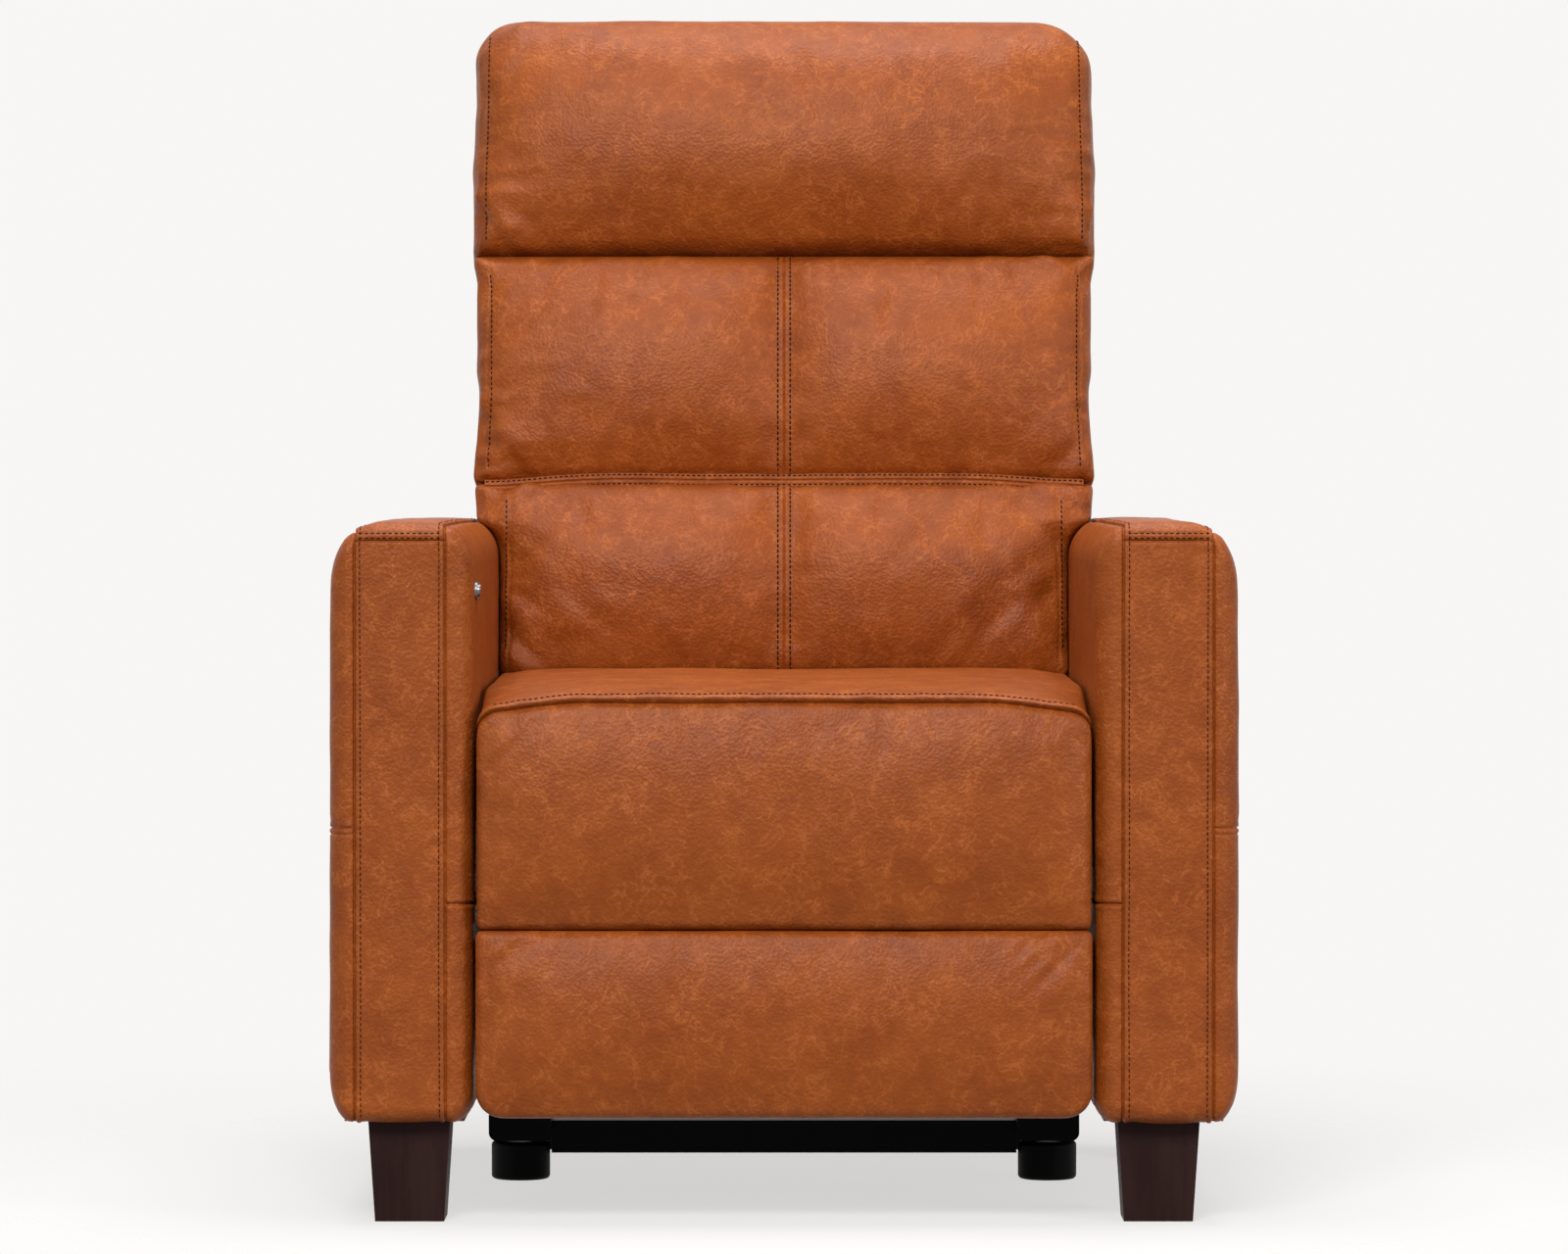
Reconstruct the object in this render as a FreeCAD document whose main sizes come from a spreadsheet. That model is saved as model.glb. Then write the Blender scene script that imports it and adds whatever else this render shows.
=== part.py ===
import FreeCAD, Part
import math
import os
import Sketcher

# Single-seat power recliner armchair, millimetres.
# +Z is up, the sitter looks along -Y and +X is on the right when the chair is seen from the front.
# The origin is on the floor, under the middle of the chair.
# Two wood-framed arms are bolted to steel side plates that stand on a low steel base.
# The footrest swings out on two stacked parallelograms, and the back turns on the side plates.

doc = FreeCAD.newDocument("recliner")
sheet = doc.addObject("Spreadsheet::Sheet", "sizes")
layout = doc.addObject("Spreadsheet::Sheet", "layout")
vector = FreeCAD.Vector
nodes = {}

# Driving sizes: every length in millimetres, every angle in degrees
DRIVING = (
    # arms
    ("overall_width", 787),
    ("arm_width", 124),
    ("arm_front_y", -430),
    ("arm_rear_y", 285),
    ("arm_shoulder_height", 606),
    ("arm_crown", 3),
    ("arm_roll", 21),
    ("arm_outer_round", 44),
    ("arm_inner_round", 36),
    ("arm_low_round", 22),
    ("arm_side_bulge", 1.5),
    ("inner_padding", 8),
    ("outer_padding", 12),
    ("front_padding", 25),
    ("top_padding", 30),
    ("rear_padding", 10),
    ("arm_member", 60),
    ("middle_rail_height", 330),
    ("middle_rail_width", 50),
    # legs
    ("leg_height", 88),
    ("leg_top_width", 71),
    ("leg_foot_width", 60),
    ("front_leg_inset", 68),
    ("front_leg_y", -369),
    ("rear_leg_inset", 38.5),
    ("rear_leg_y", 200),
    ("hanger_radius", 4),
    ("hanger_in_leg", 30),
    ("hanger_in_frame", 25),
    ("bolt_clearance", 0.1),
    # base
    ("rail_setback", 26.5),
    ("rail_width", 57),
    ("rail_height", 24),
    ("rail_wall", 2.5),
    ("rail_round", 8),
    ("rail_front_y", -50),
    ("rail_rear_y", 300),
    ("foot_height", 35),
    ("foot_radius", 27),
    ("foot_round", 4),
    ("foot_setback", 30),
    ("washer_radius", 14),
    ("washer_thickness", 2),
    ("foot_bolt_radius", 4),
    ("foot_bolt_depth", 20),
    ("foot_nut_radius", 7),
    ("foot_nut_height", 6),
    ("tube_wall", 2),
    ("front_tube_y", -10),
    ("front_tube_depth", 30),
    ("front_tube_height", 30),
    ("front_tube_low", 24),
    ("rear_tube_y", 255),
    ("rear_tube_depth", 30),
    # side plates and links
    ("plate_thickness", 5),
    ("plate_gap", 0.5),
    ("plate_corner", 14),
    ("plate_front_y", -250),
    ("plate_toe_y", -30),
    ("plate_rear_y", 272),
    ("plate_top", 372),
    ("link_thickness", 4),
    ("layer_gap", 0.5),
    ("link_half_width", 13),
    ("pin_radius", 5),
    ("pin_clearance", 0.05),
    ("collar_radius", 9),
    ("collar_gap", 0.2),
    ("pin_head", 2),
    ("swing_pivot_y", -185),
    ("swing_pivot_z", 330),
    ("swing_length", 240),
    ("swing_tail", 46),
    ("swing_fall", 58),
    ("rear_link_back", 78),
    ("rear_link_drop", 4),
    ("footrest_pivot_y", -296),
    ("footrest_pivot_z", 228),
    ("torque_tube_reach", 113),
    ("torque_tube_radius", 11),
    # bolts between side plates and arm frames
    ("arm_bolt_radius", 4),
    ("arm_bolt_head_radius", 7),
    ("arm_bolt_head", 3),
    ("arm_bolt_depth", 30),
    ("arm_bolt_front_y", -225),
    ("arm_bolt_middle_y", 60),
    ("arm_bolt_rear_y", 245),
    ("arm_bolt_low", 118),
    # seat
    ("seat_frame_low", 345),
    ("seat_frame_height", 30),
    ("seat_frame_rear_y", 150),
    ("seat_member", 45),
    ("front_board_y", -371),
    ("front_board_thickness", 16),
    ("panel_split_height", 255),
    ("panel_gap", 3),
    ("spring_radius", 1.9),
    ("spring_amplitude", 20),
    ("spring_pitch", 26),
    ("spring_bend", 6),
    ("spring_end_gap", 0.2),
    ("seat_front_y", -444),
    ("seat_side_gap", 4),
    ("seat_seam_height", 453),
    ("seat_rear_y", 140),
    ("seat_rear_lift", 11),
    ("seat_crown", 12.5),
    ("seat_bottom_gap", 0.3),
    ("soft_gap", 0.4),
    ("cushion_inset", 16),
    ("front_bulge", 7),
    # footrest
    ("footrest_side_gap", 2.5),
    ("footrest_low", 92),
    ("board_thickness", 15),
    ("board_margin", 14),
    ("board_side_margin", 6),
    ("footrest_front_y", -445.5),
    # back
    ("back_tilt", 12.5),
    ("back_foot_y", 101),
    ("back_foot_z", 475),
    ("back_hinge_y", 220),
    ("back_hinge_z", 400),
    ("lower_seam", 175),
    ("head_seam", 397),
    ("back_top", 633),
    ("seam_half_gap", 2.5),
    ("pad_depth", 102),
    ("lower_side_gap", 4.8),
    ("middle_overhang", 18.5),
    ("head_overhang", 27.5),
    ("centre_crease", 7),
    ("back_crown", 12),
    ("head_bulge", 22),
    ("back_frame_depth", 25),
    ("back_frame_low", -100),
    ("back_frame_top", 560),
    ("back_member", 50),
    ("cover_wall", 9),
    ("cover_rear", 218),
    ("cover_panel", 24),
    ("cover_low", -105),
    ("skirt_low", -215),
    ("cover_round", 32),
    ("bracket_reach", 100),
    ("bracket_bolt_reach", 30),
    ("flare_start", 160),
    ("flare_end", 195),
    # drives
    ("drive_x", 70),
    ("drive_tube_radius", 16),
    ("drive_rod_radius", 8),
    ("drive_bore_clearance", 0.06),
    ("drive_cross_y", 90),
    ("drive_cross_size", 26),
    ("lug_thickness", 4),
    ("lug_gap", 1),
    ("lug_half_width", 14),
    ("footrest_drive_drop", 36),
    ("footrest_drive_lead", 32.54),
    ("footrest_drive_stroke", 65.08),
    ("footrest_slot_angle", 44),
    ("footrest_slot_play", 1.9),
    ("footrest_tube_front_y", -60),
    ("footrest_tube_rear_y", 113),
    ("back_drive_lead", 20),
    ("back_drive_stroke", 67.96),
    ("back_slot_angle", 10.29),
    ("back_slot_play", 1.04),
    ("slot_end_margin", 0.5),
    ("back_tube_front_y", 20),
    ("back_tube_rear_y", 150),
    ("drive_tube_end", 6),
    ("drive_overlap", 25),
    ("gearbox_size", 46),
    ("motor_radius", 15),
    ("motor_length", 62),
    # switch and inlet
    ("switch_y", -350),
    ("switch_drop", 58),
    ("bezel_half_length", 14),
    ("bezel_half_height", 8),
    ("bezel_thickness", 2),
    ("button_spacing", 19),
    ("button_radius", 5.5),
    ("button_proud", 1.6),
    ("button_travel", 1.5),
    ("button_clearance", 0.2),
    ("button_flange", 1.5),
    ("inlet_x", 120),
    ("inlet_width", 36),
    ("inlet_height", 20),
    ("inlet_depth", 18),
    ("inlet_wall", 3),
)

# Places that follow from the driving sizes
DERIVED = (
    ("arm_outer", "sizes.overall_width / 2"),
    ("arm_inner", "sizes.overall_width / 2 - sizes.arm_width"),
    ("arm_top", "sizes.arm_shoulder_height + sizes.arm_crown"),
    ("front_leg_x", "arm_outer - sizes.front_leg_inset"),
    ("rear_leg_x", "arm_outer - sizes.rear_leg_inset"),
    ("rail_x", "arm_inner - sizes.rail_setback"),
    ("seat_half_width", "arm_inner - sizes.seat_side_gap"),
    ("footrest_half_width", "arm_inner - sizes.footrest_side_gap"),
    ("lower_half_width", "arm_inner - sizes.lower_side_gap"),
    ("middle_half_width", "arm_inner + sizes.middle_overhang"),
    ("head_half_width", "arm_inner + sizes.head_overhang"),
    ("switch_z", "sizes.arm_shoulder_height - sizes.switch_drop"),
    ("frame_in", "arm_inner + sizes.inner_padding"),
    ("frame_out", "arm_outer - sizes.outer_padding"),
    ("frame_front", "sizes.arm_front_y + sizes.front_padding"),
    ("frame_rear", "sizes.arm_rear_y - sizes.rear_padding"),
    ("frame_top", "arm_top - sizes.top_padding"),
    ("rail_low", "sizes.foot_height + sizes.washer_thickness"),
    ("rail_top", "rail_low + sizes.rail_height"),
    ("rail_in", "rail_x - sizes.rail_width / 2"),
    ("rail_out", "rail_x + sizes.rail_width / 2"),
    ("front_foot_y", "sizes.rail_front_y + sizes.foot_setback"),
    ("rear_foot_y", "sizes.rail_rear_y - sizes.foot_setback"),
    ("plate_out", "arm_inner - sizes.plate_gap"),
    ("plate_in", "plate_out - sizes.plate_thickness"),
    ("outer_layer_out", "plate_in - sizes.layer_gap"),
    ("outer_layer_in", "outer_layer_out - sizes.link_thickness"),
    ("middle_layer_out", "outer_layer_in - sizes.layer_gap"),
    ("middle_layer_in", "middle_layer_out - sizes.link_thickness"),
    ("inner_layer_out", "middle_layer_in - sizes.layer_gap"),
    ("inner_layer_in", "inner_layer_out - sizes.link_thickness"),
    ("plate_low_row", "rail_top + sizes.plate_corner"),
    ("plate_top_row", "sizes.plate_top - sizes.plate_corner"),
    ("ear_foot_front", "sizes.back_hinge_y - 2 * sizes.plate_corner"),
    ("ear_foot_rear", "sizes.back_hinge_y + 2 * sizes.plate_corner"),
    ("pin_hole", "sizes.pin_radius + sizes.pin_clearance"),
    ("elbow_y", "sizes.swing_pivot_y + sizes.swing_length * cos(sizes.swing_fall)"),
    ("elbow_z", "sizes.swing_pivot_z - sizes.swing_length * sin(sizes.swing_fall)"),
    ("tail_y", "elbow_y + sizes.swing_tail * cos(sizes.swing_fall)"),
    ("tail_z", "elbow_z - sizes.swing_tail * sin(sizes.swing_fall)"),
    ("rear_pivot_y", "sizes.swing_pivot_y + sizes.rear_link_back"),
    ("rear_pivot_z", "sizes.swing_pivot_z - sizes.rear_link_drop"),
    ("heel_y", "elbow_y + sizes.rear_link_back"),
    ("heel_z", "elbow_z - sizes.rear_link_drop"),
    ("toe_y", "sizes.footrest_pivot_y + sizes.swing_tail * cos(sizes.swing_fall)"),
    ("toe_z", "sizes.footrest_pivot_z - sizes.swing_tail * sin(sizes.swing_fall)"),
    ("tube_y", "sizes.swing_pivot_y + sizes.torque_tube_reach * cos(sizes.swing_fall)"),
    ("tube_z", "sizes.swing_pivot_z - sizes.torque_tube_reach * sin(sizes.swing_fall)"),
    ("tube_hole", "sizes.torque_tube_radius + sizes.pin_clearance"),
    ("arm_bolt_hole", "sizes.arm_bolt_radius + sizes.bolt_clearance"),
    ("seat_frame_half", "plate_in"),
    ("seat_frame_top", "sizes.seat_frame_low + sizes.seat_frame_height"),
    ("seat_frame_front", "sizes.front_board_y + sizes.front_board_thickness"),
    ("front_pad_low", "sizes.panel_split_height + sizes.panel_gap / 2"),
    ("footrest_top", "sizes.panel_split_height - sizes.panel_gap / 2"),
    ("board_front_y", "sizes.front_board_y - sizes.board_thickness"),
    ("board_low", "sizes.footrest_low + sizes.board_margin"),
    ("board_top", "footrest_top - sizes.board_margin"),
    ("board_half", "footrest_half_width - sizes.board_side_margin"),
    ("bracket_high_z", "board_top - sizes.link_half_width"),
    ("bracket_low_z", "board_low + 3 * sizes.link_half_width"),
    ("bracket_front_y", "sizes.front_board_y + sizes.link_half_width"),
    ("bracket_bolt_y", "sizes.back_foot_y + bracket_d * cos(sizes.back_tilt)"
     " + sizes.bracket_bolt_reach * sin(sizes.back_tilt)"),
    ("bracket_bolt_z", "sizes.back_foot_z - bracket_d * sin(sizes.back_tilt)"
     " + sizes.bracket_bolt_reach * cos(sizes.back_tilt)"),
    ("bracket_end_y", "sizes.back_foot_y + bracket_d * cos(sizes.back_tilt)"
     " + sizes.bracket_reach * sin(sizes.back_tilt)"),
    ("bracket_end_z", "sizes.back_foot_z - bracket_d * sin(sizes.back_tilt)"
     " + sizes.bracket_reach * cos(sizes.back_tilt)"),
    ("bracket_d", "sizes.pad_depth + 1 + sizes.link_half_width"),
    ("cover_half", "outer_layer_in - sizes.soft_gap"),
    ("back_frame_half", "cover_half - sizes.cover_wall"),
    ("back_frame_front", "sizes.pad_depth + sizes.soft_gap"),
    ("back_frame_rear", "back_frame_front + sizes.back_frame_depth"),
    ("lug_in", "sizes.drive_rod_radius + sizes.lug_gap"),
    ("lug_out", "lug_in + sizes.lug_thickness"),
    ("drive_z", "sizes.swing_pivot_z - sizes.footrest_drive_drop"),
    ("footrest_tip_y", "sizes.swing_pivot_y + sizes.footrest_drive_lead"),
    ("back_tip_y", "sizes.back_hinge_y + sizes.back_drive_lead"),
    ("footrest_rod_tail", "sizes.footrest_tube_front_y + sizes.footrest_drive_stroke + sizes.drive_overlap"),
    ("back_rod_tail", "sizes.back_tube_rear_y - sizes.drive_overlap"),
    ("back_rail_y", "sizes.back_foot_y + back_frame_middle * cos(sizes.back_tilt)"
     " + ( sizes.back_frame_low + sizes.back_member / 2 ) * sin(sizes.back_tilt)"),
    ("back_rail_z", "sizes.back_foot_z - back_frame_middle * sin(sizes.back_tilt)"
     " + ( sizes.back_frame_low + sizes.back_member / 2 ) * cos(sizes.back_tilt)"),
    ("back_frame_middle", "back_frame_front + sizes.back_frame_depth / 2"),
    ("cross_low", "drive_z - sizes.drive_tube_radius - sizes.drive_cross_size"),
    ("cross_top", "cross_low + sizes.drive_cross_size"),
    ("button_front_y", "sizes.switch_y - sizes.button_spacing / 2"),
    ("button_rear_y", "sizes.switch_y + sizes.button_spacing / 2"),
    ("button_hole", "sizes.button_radius + sizes.button_clearance"),
    ("bezel_front_y", "sizes.switch_y - sizes.bezel_half_length"),
    ("bezel_rear_y", "sizes.switch_y + sizes.bezel_half_length"),
)


def fill_sheets():
    for row, (alias, value) in enumerate(DRIVING, 1):
        sheet.set("A%d" % row, alias)
        sheet.set("B%d" % row, str(value))
        sheet.setAlias("B%d" % row, alias)
    for row, (alias, formula) in enumerate(DERIVED, 1):
        layout.set("A%d" % row, alias)
        layout.setAlias("B%d" % row, alias)
    for row, (alias, formula) in enumerate(DERIVED, 1):
        layout.set("B%d" % row, "=" + formula)
    doc.recompute()


fill_sheets()
names = {alias: "sizes." + alias for alias, value in DRIVING}
names.update({alias: "layout." + alias for alias, formula in DERIVED})


def value(alias):
    owner = layout if names[alias].startswith("layout") else sheet
    return float(getattr(owner, alias))


def formula(text):
    # an expression on aliases, with each alias given its sheet
    words = text.replace("(", " ( ").replace(")", " ) ").split()
    return " ".join(names.get(word, word) for word in words)


def keep(label, obj):
    obj.Label = label
    nodes[label] = obj
    return obj


# Primitive solids bound to the sheets

def box(name, x, y, z):
    obj = doc.addObject("Part::Box", name)
    for size, axis, (low, high) in (("Length", "x", x), ("Width", "y", y), ("Height", "z", z)):
        obj.setExpression(size, formula("( %s ) - ( %s )" % (high, low)))
        obj.setExpression("Placement.Base." + axis, formula(low))
    return obj


def rod(name, axis, span, centre, radius):
    # a cylinder along a row axis, from span[0] to span[1], at the other two coordinates
    turns = {"x": (vector(0, 1, 0), 90), "y": (vector(1, 0, 0), -90), "z": (vector(0, 0, 1), 0)}
    obj = doc.addObject("Part::Cylinder", name)
    obj.Placement = FreeCAD.Placement(vector(), FreeCAD.Rotation(*turns[axis]))
    obj.setExpression("Radius", formula(radius))
    obj.setExpression("Height", formula("( %s ) - ( %s )" % (span[1], span[0])))
    others = [letter for letter in "xyz" if letter != axis]
    places = dict(zip(others, centre))
    places[axis] = span[0]
    for letter in "xyz":
        obj.setExpression("Placement.Base." + letter, formula(places[letter]))
    return obj


def cut(name, base, *tools):
    for index, tool in enumerate(tools):
        obj = doc.addObject("Part::Cut", "%s_cut%d" % (name, index))
        obj.Base = base
        obj.Tool = tool
        base = obj
    return base


def fuse(name, *parts):
    obj = doc.addObject("Part::MultiFuse", name + "_fuse")
    obj.Shapes = list(parts)
    return obj


def group(label, parts):
    obj = doc.addObject("Part::Compound", label)
    obj.Links = list(parts)
    return keep(label, obj)


SIDES = (("left", -1), ("right", 1))


def across(sign, low, high):
    # the X range of a piece, mirrored on the left
    if sign > 0:
        return low, high
    return "- ( %s )" % high, "- ( %s )" % low


def signed(sign, text):
    return text if sign > 0 else "- ( %s )" % text


# Flat plates: rounded outlines and holes in the YZ plane, padded along X

def plane_of(body, role):
    return [item for item in body.Origin.OriginFeatures if item.Role == role][0]


def new_sketch(body, name):
    sketch = body.newObject("Sketcher::SketchObject", name)
    sketch.AttachmentSupport = [(plane_of(body, "YZ_Plane"), "")]
    sketch.MapMode = "FlatFace"
    return sketch


def pin_point(sketch, item, point):
    for kind, alias in zip(("DistanceX", "DistanceY"), point):
        index = sketch.addConstraint(Sketcher.Constraint(kind, -1, 1, item, 3, value(alias)))
        sketch.setExpression("Constraints[%d]" % index, names[alias])


def rounded_outline(sketch, corners, radius):
    # arcs of one radius about the corners, taken anticlockwise, joined by tangent lines
    reach = value(radius)
    points = [vector(value(a), value(b), 0) for a, b in corners]
    count = len(points)
    headings = [(points[(i + 1) % count] - points[i]).normalize() for i in range(count)]
    normals = [vector(heading.y, -heading.x, 0) for heading in headings]
    arcs, lines = [], []
    for i in range(count):
        start, end = (math.atan2(n.y, n.x) for n in (normals[i - 1], normals[i]))
        if end <= start:
            end += 2 * math.pi
        circle = Part.Circle(points[i], vector(0, 0, 1), reach)
        arcs.append(sketch.addGeometry(Part.ArcOfCircle(circle, start, end)))
    for i in range(count):
        shift = normals[i] * reach
        lines.append(sketch.addGeometry(Part.LineSegment(points[i] + shift, points[(i + 1) % count] + shift)))
    for i in range(count):
        pin_point(sketch, arcs[i], corners[i])
        sketch.addConstraint(Sketcher.Constraint("Tangent", arcs[i], 2, lines[i], 1))
        sketch.addConstraint(Sketcher.Constraint("Tangent", lines[i], 2, arcs[(i + 1) % count], 1))
    index = sketch.addConstraint(Sketcher.Constraint("Radius", arcs[0], reach))
    sketch.setExpression("Constraints[%d]" % index, names[radius])
    for arc in arcs[1:]:
        sketch.addConstraint(Sketcher.Constraint("Equal", arcs[0], arc))


def round_hole(sketch, point, radius):
    circle = Part.Circle(vector(value(point[0]), value(point[1]), 0), vector(0, 0, 1), value(radius))
    item = sketch.addGeometry(circle)
    pin_point(sketch, item, point)
    index = sketch.addConstraint(Sketcher.Constraint("Radius", item, value(radius)))
    sketch.setExpression("Constraints[%d]" % index, names[radius])


def plate(label, outlines, holes, x_low, thickness, slots=()):
    body = doc.addObject("PartDesign::Body", label)
    for number, (corners, radius) in enumerate(outlines):
        sketch = new_sketch(body, "%s_outline%d" % (label, number))
        rounded_outline(sketch, corners, radius)
        pad = body.newObject("PartDesign::Pad", "%s_pad%d" % (label, number))
        pad.Profile = sketch
        pad.setExpression("Length", names[thickness])
    cuts = []
    if holes:
        sketch = new_sketch(body, label + "_holes")
        for point, radius in holes:
            round_hole(sketch, point, radius)
        cuts.append(sketch)
    for number, (corners, radius) in enumerate(slots):
        sketch = new_sketch(body, "%s_slot%d" % (label, number))
        rounded_outline(sketch, corners, radius)
        cuts.append(sketch)
    for number, sketch in enumerate(cuts):
        pocket = body.newObject("PartDesign::Pocket", "%s_pocket%d" % (label, number))
        pocket.Profile = sketch
        pocket.Type = "ThroughAll"
        pocket.Reversed = True
    body.setExpression("Placement.Base.x", formula(x_low))
    return body


# Arms: wood frames, legs and their hanger bolts

def arm_frame(side, sign):
    name = "arm_frame_" + side
    x = across(sign, "frame_in", "frame_out")
    block = box(name + "_block", x, ("frame_front", "frame_rear"), ("leg_height", "frame_top"))
    y = ("frame_front + arm_member", "frame_rear - arm_member")
    low = box(name + "_low_window", x, y,
              ("leg_height + arm_member", "middle_rail_height - middle_rail_width / 2"))
    high = box(name + "_high_window", x, y,
               ("middle_rail_height + middle_rail_width / 2", "frame_top - arm_member"))
    holes = [rod(name + "_leg_hole" + end, "z", ("leg_height", "leg_height + hanger_in_frame"),
                 (signed(sign, end + "_leg_x"), end + "_leg_y"), "hanger_radius + bolt_clearance")
             for end in ("front", "rear")]
    holes += [rod("%s_bolt_hole%d" % (name, index), "x", across(sign, "frame_in", "frame_in + arm_bolt_depth"),
                  place, "arm_bolt_hole") for index, place in enumerate(ARM_BOLTS)]
    return keep(name, cut(name, block, low, high, *holes))


ARM_BOLTS = (
    ("arm_bolt_front_y", "middle_rail_height"),
    ("arm_bolt_middle_y", "middle_rail_height"),
    ("arm_bolt_middle_y", "arm_bolt_low"),
    ("arm_bolt_rear_y", "arm_bolt_low"),
)


def leg(end, side, sign):
    # a wood block that tapers to the floor, with a blind hole for its hanger bolt
    name = "leg_%s_%s" % (end, side)
    block = doc.addObject("Part::Wedge", name + "_block")
    block.Placement = FreeCAD.Placement(vector(), FreeCAD.Rotation(vector(1, 0, 0), 90))
    block.setExpression("Ymin", "0")
    block.setExpression("Ymax", names["leg_height"])
    for low, high, width in (("Xmin", "Xmax", "leg_foot_width"), ("Zmin", "Zmax", "leg_foot_width"),
                             ("X2min", "X2max", "leg_top_width"), ("Z2min", "Z2max", "leg_top_width")):
        block.setExpression(low, formula("- %s / 2" % width))
        block.setExpression(high, formula("%s / 2" % width))
    block.setExpression("Placement.Base.x", formula(signed(sign, end + "_leg_x")))
    block.setExpression("Placement.Base.y", names[end + "_leg_y"])
    hole = rod(name + "_hole", "z", ("leg_height - hanger_in_leg", "leg_height"),
               (signed(sign, end + "_leg_x"), end + "_leg_y"), "hanger_radius + bolt_clearance")
    return keep(name, cut(name, block, hole))


def leg_bolts():
    parts = []
    for side, sign in SIDES:
        for end in ("front", "rear"):
            parts.append(rod("hanger_%s_%s" % (end, side), "z",
                             ("leg_height - hanger_in_leg", "leg_height + hanger_in_frame"),
                             (signed(sign, end + "_leg_x"), end + "_leg_y"), "hanger_radius"))
    group("leg_bolts", parts)


def arm_bolts():
    parts = []
    for side, sign in SIDES:
        for index, place in enumerate(ARM_BOLTS):
            name = "arm_bolt_%s%d" % (side, index)
            shank = rod(name + "_shank", "x", across(sign, "plate_in", "frame_in + arm_bolt_depth"),
                        place, "arm_bolt_radius")
            head = rod(name + "_head", "x", across(sign, "plate_in - arm_bolt_head", "plate_in"),
                       place, "arm_bolt_head_radius")
            parts.append(fuse(name, shank, head))
    group("arm_bolts", parts)


# Base: rails, cross tubes and feet

def base_rail(side, sign):
    name = "base_rail_" + side
    x = across(sign, "rail_in", "rail_out")
    outer = box(name + "_outer", x, ("rail_front_y", "rail_rear_y"), ("rail_low", "rail_top"))
    doc.recompute()
    low_edges = [index for index, edge in enumerate(outer.Shape.Edges, 1)
                 if edge.BoundBox.YLength > 1 and edge.BoundBox.ZMax < value("rail_top") - 1]
    rounded = doc.addObject("Part::Fillet", name + "_rounded")
    rounded.Base = outer
    rounded.Edges = [(index, value("rail_round"), value("rail_round")) for index in low_edges]
    inner_x = across(sign, "rail_in + rail_wall", "rail_out - rail_wall")
    hollow = box(name + "_hollow", inner_x, ("rail_front_y + rail_wall", "rail_rear_y"),
                 ("rail_low + rail_wall", "rail_top - rail_wall"))
    holes = [rod(name + "_hole_" + end, "z", ("rail_low", "rail_low + rail_wall"),
                 (signed(sign, "rail_x"), end + "_foot_y"), "foot_bolt_radius + bolt_clearance")
             for end in ("front", "rear")]
    return keep(name, cut(name, rounded, hollow, *holes))


def cross_tube(label, half, y, z):
    outer = box(label + "_outer", ("- ( %s )" % half, half), y, z)
    inner = box(label + "_inner", ("- ( %s )" % half, half),
                ("%s + tube_wall" % y[0], "%s - tube_wall" % y[1]),
                ("%s + tube_wall" % z[0], "%s - tube_wall" % z[1]))
    return keep(label, cut(label, outer, inner))


def base_feet():
    feet, bolts = [], []
    for side, sign in SIDES:
        for end in ("front", "rear"):
            name = "foot_%s_%s" % (end, side)
            place = (signed(sign, "rail_x"), end + "_foot_y")
            block = rod(name + "_block", "z", ("0", "foot_height"), place, "foot_radius")
            doc.recompute()
            rims = [index for index, edge in enumerate(block.Shape.Edges, 1) if edge.BoundBox.ZLength < 1]
            rounded = doc.addObject("Part::Fillet", name + "_rounded")
            rounded.Base = block
            radius = min(value("foot_round"), value("foot_height") / 3)
            rounded.Edges = [(index, radius, radius) for index in rims]
            hole = rod(name + "_hole", "z", ("foot_height - foot_bolt_depth", "foot_height"), place,
                       "foot_bolt_radius + bolt_clearance")
            feet.append(cut(name, rounded, hole))
            shank = rod(name + "_shank", "z",
                        ("foot_height - foot_bolt_depth", "rail_low + rail_wall + foot_nut_height"),
                        place, "foot_bolt_radius")
            washer = rod(name + "_washer", "z", ("foot_height", "rail_low"), place, "washer_radius")
            nut = rod(name + "_nut", "z", ("rail_low + rail_wall", "rail_low + rail_wall + foot_nut_height"),
                      place, "foot_nut_radius")
            bolts.append(fuse(name + "_bolt", shank, washer, nut))
    group("base_feet", feet)
    group("base_foot_bolts", bolts)


# Steel side plates and the links of the footrest

def side_plate(side, sign):
    outline = (("plate_toe_y", "plate_low_row"), ("plate_rear_y", "plate_low_row"),
               ("plate_rear_y", "plate_top_row"), ("plate_front_y", "plate_top_row"))
    ear = (("ear_foot_front", "plate_top_row"), ("ear_foot_rear", "plate_top_row"),
           ("back_hinge_y", "back_hinge_z"))
    holes = [(("swing_pivot_y", "swing_pivot_z"), "pin_hole"),
             (("rear_pivot_y", "rear_pivot_z"), "pin_hole"),
             (("back_hinge_y", "back_hinge_z"), "pin_hole")]
    holes += [(place, "arm_bolt_hole") for place in ARM_BOLTS]
    x_low = across(sign, "plate_in", "plate_out")[0]
    label = "side_plate_" + side
    return keep(label, plate(label, [(outline, "plate_corner"), (ear, "plate_corner")], holes,
                             x_low, "plate_thickness"))


LINKS = {
    "front_link": ("middle", [("swing_pivot_y", "swing_pivot_z"), ("elbow_y", "elbow_z"), ("tail_y", "tail_z")]),
    "rear_link": ("middle", [("rear_pivot_y", "rear_pivot_z"), ("heel_y", "heel_z")]),
    "outer_link": ("outer", [("heel_y", "heel_z"), ("elbow_y", "elbow_z"),
                             ("footrest_pivot_y", "footrest_pivot_z")]),
    "inner_link": ("inner", [("tail_y", "tail_z"), ("toe_y", "toe_z")]),
}


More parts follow.
